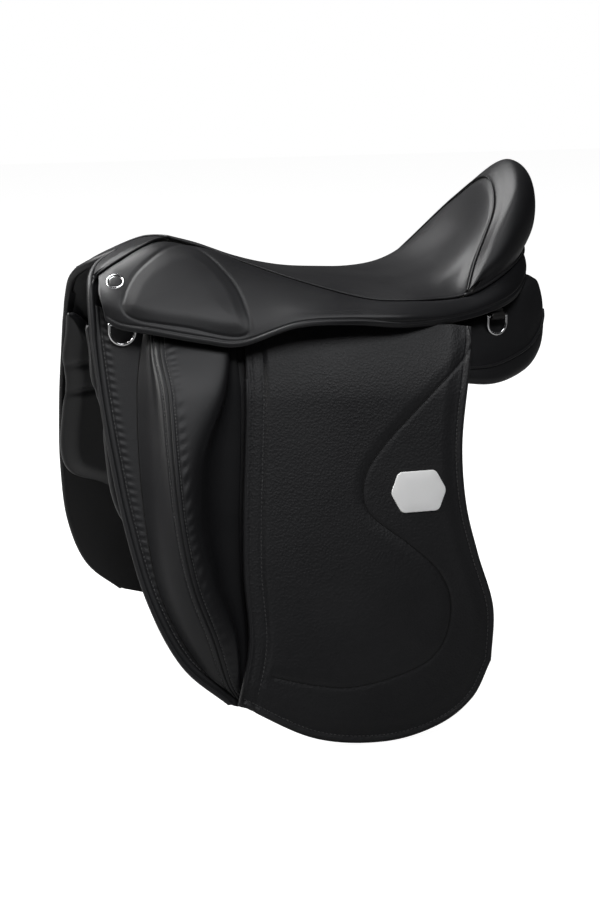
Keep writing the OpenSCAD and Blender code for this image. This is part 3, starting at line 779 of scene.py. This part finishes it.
n_plate = flap_out(np.array(float(PLATE_AT[0])), np.array(float(PLATE_AT[1])))
ex = np.array([1.0, 0, 0]) - n_plate * n_plate[0]
ex /= np.linalg.norm(ex)
ey = np.cross(n_plate, ex)
centre = on_flap(PLATE_AT[0], PLATE_AT[1], flap_height(PLATE_AT[1]) + 0.2)
for tag, side in SIDES:
    outline = rounded(corners, 4.0)
    rings = [(1.0, 0.0), (1.0, PLATE_T - 0.5), (0.985, PLATE_T - 0.1), (0.965, PLATE_T),
        (0.5, PLATE_T + 0.25), (0.02, PLATE_T + 0.3)]
    verts = [centre + (ex * p[0] + ey * p[1]) * k + n_plate * h for k, h in rings for p in outline]
    count = len(outline)
    faces = grid_faces(len(rings), count, 0, True) + [tuple(range(count))[::-1],
        tuple((len(rings) - 1) * count + k for k in range(count))]
    plate = mesh_object("blank_plate_" + tag, mirrored(verts, side), faces, "white_plate", "leg_flap_" + tag)
    stands_for(plate, "white_plate", "flap_plate_" + tag)

# ---- sweat flap ----

SWEAT_GUIDES = flat_guides([
    [[-252, 74], [-253, 44], [-252, -10], [-249, -60], [-243, -119], [-230, -185], [-205, -240],
     [-165, -276]],
    [[-205, 53], [-200, 22], [-198, -20], [-195, -70], [-186, -125], [-172, -185], [-150, -245],
     [-122, -288]],
    [[-120, 34], [-115, 4], [-112, -30], [-110, -80], [-106, -130], [-100, -190], [-90, -250], [-76, -296]],
    [[-20, 34], [-20, 0], [-20, -45], [-20, -90], [-20, -140], [-19, -195], [-17, -250], [-14, -296]],
    [[62, 33], [58, 0], [56, -45], [56, -90], [58, -140], [62, -190], [60, -230], [44, -268]],
])
wx, wz = flat_sheet(SWEAT_GUIDES, 220, 190)
front = grid_line(wx, wz, (ALL, 0))


def sweat_off(x, z):
    d, _ = distance(x, z, front[::3])
    off = 0.9 * bell(d, 4.5, 3.2) - 0.8 * bell(d, 8.5, 1.0)
    return off + 0.3 * np.sin(z * 0.9 + x * 0.15) * bell(d, 12, 3)


# The front roll runs from the foot of one sweat flap over the pommel to the foot of the other.
ROLL = [[-215, 0, 115.5], [-226, -3.5, 110.5], [-237, -12, 104.5], [-246, -27, 96], [-250, -41, 85],
    [-251.5, -50, 68],
        [-252, -57.5, 50]]
low = front[front[:, 1] < 42]
lower_roll = on_flap(low[:, 0] + 0.5, low[:, 1], -1.2)
upper_roll = curve(ROLL, 90)
near_half = np.concatenate([upper_roll, lower_roll[::2]])
whole = np.concatenate([near_half[::-1], (near_half * FLIP)[1:]])
thick = 2.7 + 1.2 * smooth(whole[:, 2], 0, 70)
welt("front_roll", whole, thick, ROOT, 14)
# Lining of the arch behind the roll
half_arch = curve(ROLL, 70)
rib = np.concatenate([half_arch[::-1], (half_arch * FLIP)[1:]])
lining = np.stack([rib + [1, 0, -1.5], rib * [1, 0.95, 1] + [10, 0, -3], rib * [1, 0.92, 1] + [24, 0, -5]])
lining = sheet(list(lining), (0, 1, 138), (0, 1, 16))
solid("arch_lining", lining, lining - normals(lining) * 1.4, "calf_leather", ROOT, 0.6)
for tag, side in SIDES:
    top = mirrored(on_flap(wx, wz, sweat_off(wx, wz)), side)
    flap = solid("sweat_flap_leather_" + tag, top, mirrored(on_flap(wx, wz, -4), side),
        "calf_leather", ROOT, 0.8)
    stands_for(flap, "calf_leather", "sweat_flap_" + tag)
    x, z = shifted(front, 8.5)[30:-10].T
    sewn("sweat_stitch_" + tag, x, z, sweat_off(x, z) + 0.1, side, ROOT)

# ---- knee block ----

# Rows from top to bottom: front foot, seamed ridge, rear brow, rear foot, and height as a share of the whole
FOOT = [[-206, 52], [-212, 30], [-219, -5], [-224, -60], [-225, -115], [-221, -170], [-207, -212],
    [-186, -246], [-168, -264]]
RIDGE = [[-196, 52], [-200, 30], [-200, -2], [-203, -58], [-203, -115], [-197, -165], [-182, -212],
    [-170, -252], [-160, -270]]
BROW = [[-140, 52], [-141, 30], [-152, -4], [-178, -58], [-185, -115], [-178, -165], [-162, -212],
    [-158, -256], [-156, -273]]
REAR = [[-127, 52], [-126, 30], [-126, -6], [-132, -58], [-140, -115], [-144, -165], [-145, -212],
    [-149, -260], [-151, -276]]
RISE = [0.26, 0.55, 0.86, 1, 1, 0.92, 0.66, 0.26, 0.05]
BLOCK_H = 42
columns = [[] for _ in range(6)]
for k in range(len(FOOT)):
    foot, ridge, brow, rear = (np.array(c[k], float) for c in (FOOT, RIDGE, BROW, REAR))
    h = BLOCK_H * RISE[k]
    row = [(foot, 3), (foot + (ridge - foot) * 0.4, h * 0.66), (ridge, h), (brow, h * 0.9),
           (brow + (rear - brow) * 0.42, h * 0.34), (rear, 4.5)]
    for c, (p, high) in enumerate(row):
        columns[c].append([p[0], p[1], high])
g = sheet(columns, (0, 1, 200), (0, 1, 150))
block = on_flap(g[..., 0], g[..., 1], g[..., 2])
for _ in range(24):
    block[:, 1:-1] = block[:, 1:-1] * 0.5 + (block[:, :-2] + block[:, 2:]) * 0.25
n = normals(block)
outward = n * (1 if n[80, 60, 1] < 0 else -1)
run = np.concatenate([np.zeros((201, 1)), np.cumsum(np.linalg.norm(np.diff(block, axis=1), axis=2), axis=1)],
    axis=1)
across_seam = run - run[:, 60:61]
u = np.linspace(0, 1, 201)[:, None]
SEAM = 5.0
relief = -0.8 * bell(across_seam, -SEAM, 0.9) - 0.8 * bell(across_seam, SEAM, 0.9)
relief = relief + 0.9 * bell(across_seam, 0, 4.5) - 1.3 * bell(across_seam, 0, 0.8)
pucker = 0.3 * np.sin(u * 260 + 0.35 * across_seam + 2 * np.sin(u * 37)) * bell(across_seam, 10, 3.5)
relief = (relief + pucker) * smooth(u, 0.0, 0.03)
block_top = block + outward * relief[..., None]
block_in = on_flap(g[..., 0], g[..., 1], 1.4)


def on_block(shift, lift):
    """Line along the block's seamed ridge, shifted across it."""
    rows = range(4, 197)
    line = [[np.interp(shift, across_seam[k], block_top[k, :, c]) for c in range(3)] for k in rows]
    out = [[np.interp(shift, across_seam[k], outward[k, :, c]) for c in range(3)] for k in rows]
    return np.array(line) + np.array(out) * lift, np.array(out)


for tag, side in SIDES:
    made = solid("knee_block_leather_" + tag, mirrored(block_top, side), mirrored(block_in, side),
        "calf_leather", ROOT, 0.25)
    stands_for(made, "calf_leather", "knee_block_" + tag)
    for k, shift in enumerate((-SEAM, SEAM)):
        row, out = on_block(shift, 0.15)
        made = stitches(f"block_stitch_{k + 1}_{tag}", mirrored(row, side), mirrored(out, side),
            ROOT, 3.4, 2.5)
    row, out = on_block(0.0, 0.1)
    dark_line("block_seam_" + tag, mirrored(row, side), 0.5, ROOT)
    foot = curve(FOOT, 120)[8:-4]
    row = on_flap(foot[:, 0] - 0.3, foot[:, 1], sweat_off(*foot.T) + 0.1)
    dark_line("block_crease_" + tag, mirrored(row, side), 0.8, ROOT)

# ---- skirts ----

FOLD_A, FOLD_B = np.array([-246, -56, 86.0]), np.array([30, -139, 64.0])
FOLD_STEPS = [0, 0.08, 0.2, 0.36, 0.5, 0.66, 0.83, 1]
SKIRT_MID = [[-242, -44, 93], [-226, -47, 98], [-190, -52, 107], [-139, -65, 101.5], [-100, -80, 91.5],
             [-55, -98, 81.5], [-6, -116.5, 72.5], [38, -128.5, 70], [93, -126, 67], [144, -108, 79],
             [183, -64, 95],
             [205, -2.5, 102]]
SKIRT_TAIL = [[88, -134, 56], [146, -112, 67], [180, -70, 83], [201, -2.5, 90]]
SKIRT_LOW = [[-243, -70, 62], [-232, -80, 55], [-205, -95, 51], [-160, -112, 43], [-126, -121, 40],
             [-75, -131, 56.5], [-22, -138, 57.5], [30, -142, 52.5]]
TEAR = curve([[-227, 76], [-220, 88], [-209, 101], [-192, 113], [-174, 121], [-155, 123], [-140, 117],
    [-128, 103],
              [-120, 88], [-117, 71], [-116, 59], [-119, 51], [-129, 48], [-145, 50], [-171, 56], [-197, 60],
              [-214, 63],
              [-224, 68], [-227, 76]], 160)
tail = np.array(SKIRT_TAIL, float)
fold = np.concatenate([[FOLD_A + (FOLD_B - FOLD_A) * f for f in FOLD_STEPS],
    tail * 0.5 + np.array(SKIRT_MID[8:]) * 0.5])
low = np.concatenate([SKIRT_LOW, tail])
middle = (fold + low) / 2
middle[:8] += np.array([0, -4, 4])
shoulder = np.array(SKIRT_TOP, float) * 0.58 + np.array(SKIRT_MID, float) * 0.42
shoulder[:, 2] += [1.5, 2.5, 4.5, 6.0, 4.2, 2.4, 1.4, 1.0, 1.0, 1.0, 1.0, 1.0]
skirt_g = sheet([SKIRT_TOP, shoulder, SKIRT_MID, fold, middle, low], (0, 1, 300), (0, 1, 120))
for _ in range(420):
    skirt_g[:, 1:-1] = skirt_g[:, 1:-1] * 0.5 + (skirt_g[:, :-2] + skirt_g[:, 2:]) * 0.25
v = np.linspace(0, 1, 121)[None, :]
u = np.linspace(0, 1, 301)[:, None]
n = normals(skirt_g)
outward = n * (1 if n[100, 40, 1] < 0 else -1)
# Give back the fullness that smoothing took.
fullness = 1.8 * np.sin(v * math.pi) ** 1.5 * smooth(u, 0, 0.08) * smooth(-u, -1, -0.8)
skirt_g = skirt_g + outward * fullness[..., None]
sx, sz = skirt_g[..., 0], skirt_g[..., 2]
d, _ = distance(sx, sz, TEAR)
signed = np.where(inside(sx, sz, TEAR), d, -d)
swell = 1.6 * smooth(signed, -1.0, 12.0) + 1.0 * smooth(signed, 5, 30) - 0.7 * bell(signed, -0.8, 1.3)
step = np.linalg.norm(np.diff(skirt_g, axis=1), axis=2)
from_top = np.concatenate([np.zeros((301, 1)), np.cumsum(step, axis=1)], axis=1)
near_edge = from_top[:, -1:] - from_top
hem = -0.7 * bell(near_edge, 5, 0.9) + 0.5 * bell(near_edge, 2.5, 2)
seam_dip = -1.2 * bell(from_top, 0, 2.5)
skirt_top = skirt_g + outward * (swell + hem * smooth(u, 0.0, 0.03) + seam_dip)[..., None]
skirt_in = skirt_g - outward * (LEATHER - 0.4)
axis = (FOLD_B - FOLD_A) / np.linalg.norm(FOLD_B - FOLD_A)
down = np.array([0, -0.42, -0.9])
down = down - axis * (down @ axis)
down /= np.linalg.norm(down)
for tag, side in SIDES:
    made = solid("skirt_leather_" + tag, mirrored(skirt_top, side), mirrored(skirt_in, side), "calf_leather",
        None, 0.9)
    stands_for(made, "calf_leather", "skirt_" + tag, "skirt_flap_" + tag)
    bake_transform(made)

# Tab over the join of the two skirts behind the cantle
TAB = np.array([[203.2, 0, 113.2], [205.4, 0, 108], [206.2, 0, 102], [204.6, 0, 96], [202, 0, 90.5]])
tab = np.stack([TAB + [-0.006 * y * y, y, 0] for y in np.linspace(-7, 7, 15)], axis=1)
tab = sheet([tab[:, k] for k in range(15)], (0, 1, 40), (0, 1, 28))
solid("skirt_join_tab", tab + [0.9, 0, 0], tab + [-1.2, 0, 0], "calf_leather", ROOT)

# Round stud on the skirt: a plain rim round a dark leather inlay
BADGE_AT = np.array([-228.4, -51.4, 94.0])
a, b = math.radians(44), math.radians(-20)
badge_n = np.array([math.sin(a) * math.sin(b), -math.sin(a) * math.cos(b), math.cos(a)])
PROFILE = [(0, -0.6), (8.7, -0.6), (9.1, 0.2), (9.0, 1.2), (8.5, 2.0), (7.7, 2.2), (7.1, 2.0), (6.7, 1.2),
    (6.2, 1.0),
           (5.0, 1.0), (0, 1.0)]
INLAY = [(0, 0.7), (5.6, 0.7), (5.9, 1.1), (5.6, 1.5), (4.0, 1.75), (0, 1.9)]
for tag, side in SIDES:
    made = lathe("stud_badge_" + tag, [(max(r, 0.01), h) for r, h in PROFILE], mirrored(BADGE_AT, side),
                 mirrored(badge_n, side), "silver_trim", ROOT)
    stands_for(made, "silver_trim", "badge_" + tag)
    made = lathe("stud_inlay_" + tag, [(max(r, 0.01), h) for r, h in INLAY], mirrored(BADGE_AT, side),
                 mirrored(badge_n, side), "calf_leather", ROOT)

# ---- panels ----

OVER = [
    [[-236, -32, 52], [-190, -36, 62], [-140, -38, 60], [-70, -44, 56], [0, -50, 54], [70, -52, 55],
     [120, -52, 60], [160, -50, 76], [186, -48, 83], [200, -52, 76]],
    [[-236, -42, 48], [-190, -49, 56], [-140, -70, 47], [-70, -92, 42], [0, -108, 38], [70, -122, 44],
     [120, -105, 57], [160, -90, 68], [187, -73, 79], [201, -62, 74]],
]
UNDER = [
    [[-236, -31, 38], [-190, -34, 46], [-140, -35, 42], [-70, -36, 34], [0, -36, 28], [70, -37, 26],
     [120, -38, 25], [160, -40, 31], [185, -44, 42], [200, -50, 56]],
    [[-236, -38, 28], [-190, -52, 24], [-140, -64, 18], [-70, -75, 8], [0, -84, 1], [70, -90, -3],
     [120, -90, -9], [160, -84, -4], [186, -72, 16], [201, -62, 44]],
    [[-236, -46, 24], [-190, -68, 15], [-140, -90, 4], [-70, -107, 0], [0, -122, 0], [70, -140, -2],
     [120, -139, -6], [160, -119, 2], [187, -95, 18], [201, -72, 46]],
]
STATIONS = 150
s = np.linspace(0, 1, STATIONS)
ring = [along(OVER[0], s), along(OVER[0], s) * 0.5 + along(OVER[1], s) * 0.5 + [0, 0, 2.5], along(OVER[1], s)]
ring.append(along(OVER[1], s) * 0.55 + along(UNDER[2], s) * 0.45 + [0, -3.0, 2.0])
ring.append(along(UNDER[2], s) + [0, 1.0, 1.5])
ring.append(along(UNDER[2], s) * 0.5 + along(UNDER[1], s) * 0.5 + [0, 0, -1.0])
ring += [along(UNDER[1], s), along(UNDER[1], s) * 0.45 + along(UNDER[0], s) * 0.55, along(UNDER[0], s)]
ring.append(along(OVER[0], s) * 0.5 + along(UNDER[0], s) * 0.5 + [0, 1.5, 0])
ring = np.stack(ring)
closed = np.concatenate([ring[-2:], ring, ring[:3]])
count = 96
t = (np.arange(count) / count * len(ring) + 2) / (len(closed) - 1)
body_g = along(closed, t).transpose(1, 0, 2)
middle_line = body_g.mean(axis=1, keepdims=True)
# Both ends of the panel draw in to a rounded nose.
end = np.minimum(np.arange(STATIONS), np.arange(STATIONS)[::-1]) / 7.0
draw = np.sqrt(np.clip(1 - (1 - np.clip(end, 0, 1)) ** 2, 0.0004, 1))[:, None, None]
body_g = middle_line + (body_g - middle_line) * draw
turn = np.arange(count) / count * len(ring)
lump = 0.5 * np.sin(s * 41)[:, None] * bell(turn, 3, 1.2)[None, :]
welt_at = 3.5
gutter = -1.2 * bell(turn, welt_at, 0.14)[None, :]
out = body_g - middle_line
out /= np.maximum(np.linalg.norm(out, axis=2, keepdims=True), 1e-6)
panel_g = body_g + out * ((lump + gutter) * draw[..., 0])[..., None]
for tag, side in SIDES:
    verts = mirrored(panel_g.reshape(-1, 3), side)
    faces = grid_faces(STATIONS, count, 0, True)
    faces += [tuple(range(count))[::-1], tuple((STATIONS - 1) * count + k for k in range(count))]
    made = mesh_object("panel_leather_" + tag, verts, faces, "panel_leather", ROOT)
    stands_for(made, "panel_leather", "panel_" + tag)
    k = int(round(welt_at / len(ring) * count))
    row = panel_g[4:-3, k] + out[4:-3, k] * 0.7
    welt("panel_welt_" + tag, mirrored(row, side), 1.5, ROOT)

BRIDGE_HALF, BRIDGE_TOP = 31, 56.2
bx, by = np.meshgrid(np.linspace(-184, 156, 60), np.linspace(-BRIDGE_HALF, BRIDGE_HALF, 24), indexing="ij")
sag = 0.9 * np.cos(by / BRIDGE_HALF * math.pi / 2) + 0.3 * np.sin(bx / 9)
plane = np.stack([bx, by, BRIDGE_TOP - sag], axis=-1)
made = solid("channel_bridge_felt", plane, plane - [0, 0, 1.6], "felt", ROOT)
stands_for(made, "panel_leather", "panel_bridge")

# Forward pads, with their wavy front where the padding is sewn through.
PAD_GUIDES = flat_guides([
    [[-254, 51], [-253, 33], [-254, 6], [-249, -17], [-248, -31], [-249, -54], [-247, -98], [-234, -125],
     [-202, -140]],
    [[-241, 46], [-240, 30], [-239, 6], [-236, -14], [-235, -30], [-235, -54], [-230, -94], [-218, -122],
     [-190, -146]],
    [[-196, 10], [-195, 4], [-193, -6], [-190, -18], [-189, -34], [-188, -54], [-184, -90], [-174, -128],
     [-150, -158]],
    [[-112, -4], [-111, -11], [-110, -19], [-110, -29], [-110, -42], [-109, -58], [-104, -92], [-95, -130],
     [-84, -158]],
    [[0, -6], [0, -11], [0, -18], [0, -27], [0, -38], [0, -52], [1, -82], [3, -110], [6, -136]],
])
px, pz = flat_sheet(PAD_GUIDES, 150, 120)
border = boundary(np.stack([px, pz], -1))[::4]
border = np.concatenate([border, border[:1]])
d, _ = distance(px, pz, border)
fat = smooth(d, -4, 16)
channel = sum(bell(pz + 4 + 30 * k, 0.12 * (px + 250), 4.5) for k in range(2))
ripple = np.sin((px + pz * 0.4) / 11) * 0.4
outer_off = np.full(px.shape, -10.0) - 3.0 * (1 - fat)
inner_off = -10 - (8 + 9 * fat) * (1 - 0.22 * np.clip(channel, 0, 1) * smooth(-px, 60, 180)) + ripple
for tag, side in SIDES:
    a = mirrored(on_flap(px, pz, outer_off), side)
    b = mirrored(on_flap(px, pz, inner_off), side)
    made = solid("forward_pad_leather_" + tag, a, b, "panel_leather", ROOT, 0.75, 6)
    stands_for(made, "panel_leather", "panel_forward_" + tag)

# ---- girth straps ----

BILLET_TOP, BILLET_LEN, BILLET_W, BILLET_T, BILLET_OFF = 21, 285, 26, 3.0, 3.2


def strap_mesh(name, x, side, body):
    """One girth strap: rounded tip, creased edges and a row of punched holes."""
    half = BILLET_W / 2
    tip = BILLET_TOP - BILLET_LEN
    zs = np.linspace(BILLET_TOP, tip - 11, 294)
    ws = np.linspace(-1, 1, 27)
    reach = np.where(zs < tip + 4, np.sqrt(np.clip(1 - ((tip + 4 - zs) / 15.5) ** 2, 0.02, 1)), 1.0)
    gx = x + half * reach[:, None] * ws[None, :]
    gz = np.repeat(zs[:, None], 27, axis=1)
    holes = [tip + 24 + 22 * k for k in range(8)]
    keep = np.ones((293, 26), bool)
    cx, cz = (gx[:-1, :-1] + gx[1:, 1:]) / 2, (gz[:-1, :-1] + gz[1:, 1:]) / 2
    for hz in holes:
        keep &= np.hypot(cx - x, cz - hz) > 2.1
        r = np.hypot(gx - x, gz - hz)
        edge = (r < 3.1) & (r > 1.2)
        k = np.where(edge, 2.5 / np.maximum(r, 0.1), 1.0)
        gx = np.where(edge, x + (gx - x) * k, gx)
        gz = np.where(edge, hz + (gz - hz) * k, gz)
    rim = (1 - np.abs(ws)[None, :]) * half * reach[:, None]
    crease = -0.35 * bell(rim, 2.6, 0.6) - 0.7 * bell(rim, 0, 0.8)
    a = on_flap(gx, gz, BILLET_OFF + BILLET_T + crease)
    b = on_flap(gx, gz, BILLET_OFF + 0.5 * bell(rim, 0, 0.8))
    m, n = gx.shape
    verts = np.concatenate([a.reshape(-1, 3), b.reshape(-1, 3)])
    top = [f for f, k in zip(grid_faces(m, n), keep.reshape(-1)) if k]
    faces = top + [tuple(v + m * n for v in f[::-1]) for f in top]
    seen_once = {}
    for f in top:
        for i in range(4):
            e = (f[i], f[(i + 1) % 4])
            if (e[1], e[0]) in seen_once:
                del seen_once[(e[1], e[0])]
            else:
                seen_once[e] = True
    faces += [(e[1], e[0], e[0] + m * n, e[1] + m * n) for e in seen_once]
    used = np.unique(np.concatenate([np.array(f) for f in faces]))
    number = np.full(len(verts), -1)
    number[used] = np.arange(len(used))
    return mesh_object(name, mirrored(verts[used], side), [tuple(number[list(f)]) for f in faces],
        "strap_leather", body)


for tag, side in SIDES:
    for which, x in (("front", -80), ("rear", -12)):
        body = f"billet_{which}_{tag}"
        made = strap_mesh(f"girth_strap_{which}_{tag}", x, side, body)
        stands_for(made, "strap_leather", body)
        for k, dx in enumerate((-9.5, 9.5)):
            z = np.linspace(6, -22, 30)
            row_x = np.full(30, x + dx)
            top = BILLET_OFF + BILLET_T - 0.1
            sewn(f"strap_stitch_{which}_{k + 1}_{tag}", row_x, z, top, side, body)
    gx, gz = np.meshgrid(np.linspace(-100, 8, 110), np.linspace(30, 8, 24), indexing="ij")
    rib = 0.35 * np.abs(np.sin(gz * math.pi / 3.6))
    made = solid("girth_webbing_" + tag, mirrored(on_flap(gx, gz, 2.0 + rib), side),
        mirrored(on_flap(gx, gz, 0.4), side),
                 "webbing", ROOT)
    stands_for(made, "webbing", "billet_web_" + tag)

# ---- D-ring chapes ----


def chape_mesh(name, centre, turn, width, tail, side):
    """Strip of leather folded round the ring's bar, its two ends stitched together above."""
    line = [(4.0, tail), (3.7, tail * 0.5), (3.4, 2.0), (3.1, -1.4), (1.2, -3.3), (-1.4, -3.0), (-3.2, -1.0),
            (-3.0, 1.5), (-1.0, 2.9), (0.8, 3.6), (1.1, tail * 0.55), (1.0, tail)]
    p = curve(np.array([(0, y, z) for y, z in line], float), 60)
    ws = np.linspace(-1, 1, 15)
    c, s_ = math.cos(math.radians(turn)), math.sin(math.radians(turn))
    rows = []
    for w in ws:
        q = p.copy()
        q[:, 0] = w * width / 2
        inward = 0.25 * abs(w) ** 6
        mid = p.mean(axis=0)
        q[:, 1:] = mid[1:] + (q[:, 1:] - mid[1:]) * (1 - inward * 0.2)
        rows.append(np.stack([c * q[:, 0] - s_ * q[:, 1], s_ * q[:, 0] + c * q[:, 1], q[:, 2]], -1) + centre)
    g = np.stack(rows)
    n = normals(g)
    t = 0.6
    return solid(name, mirrored(g + n * t, side), mirrored(g - n * t, side), "strap_leather", ROOT, 1.0, 2)


for tag, side in SIDES:
    for which, centre, turn, width, tail in (("front", (-227.5, -72, 57), -14, 15, 14),
        ("rear", (131, -117, 55), 16, 14, 7)):
        made = chape_mesh(f"ring_chape_{which}_{tag}", np.array(centre, float), turn, width, tail, side)
        stands_for(made, "strap_leather", f"{which}_chape_{tag}")

# ---- finishes of the CAD's metal parts ----

for node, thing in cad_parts.items():
    if thing.hide_render:
        continue
    finish = "silver_trim" if "ring" in node and "rings" not in node else "forged_steel"
    if node in ("head_plate", "head_rivets"):
        finish = "tree_steel"
    thing.data.materials.clear()
    thing.data.materials.append(MATERIAL[finish])

# ---- floor ----

FLOOR_GLOW = 0.96
lowest = min(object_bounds()[0][2], cad_box[0][2])
half = 6.0
floor_data = bpy.data.meshes.new("floor")
floor_data.from_pydata([(-half, -half, 0), (half, -half, 0), (half, half, 0), (-half, half, 0)], [],
    [(0, 1, 2, 3)])
floor = bpy.data.objects.new("floor", floor_data)
bpy.context.scene.collection.objects.link(floor)
floor.location = (0, 0, lowest - 0.0005)
pale = Nodes("pale_floor")
pale.link(pale.colours(pale.noise(3, 2), (0.34, 0.34, 0.34), (0.36, 0.36, 0.36)),
    pale.shader.inputs["Base Color"])
pale.set(Roughness=0.9, Specular_IOR_Level=0.0)
# The glow makes the floor pale to look at, and keeps off the dark leather.
glow = pale.add("Emission", Color=(1, 1, 1, 1))
pale.link(pale.maths("MULTIPLY", pale.add("LightPath").outputs["Is Camera Ray"], FLOOR_GLOW),
    glow.inputs["Strength"])
both = pale.add("AddShader")
pale.link(pale.shader.outputs[0], both.inputs[0])
pale.link(glow.outputs[0], both.inputs[1])
pale.link(both.outputs[0], pale.tree.nodes["Material Output"].inputs["Surface"])
floor_data.materials.append(pale.mat)
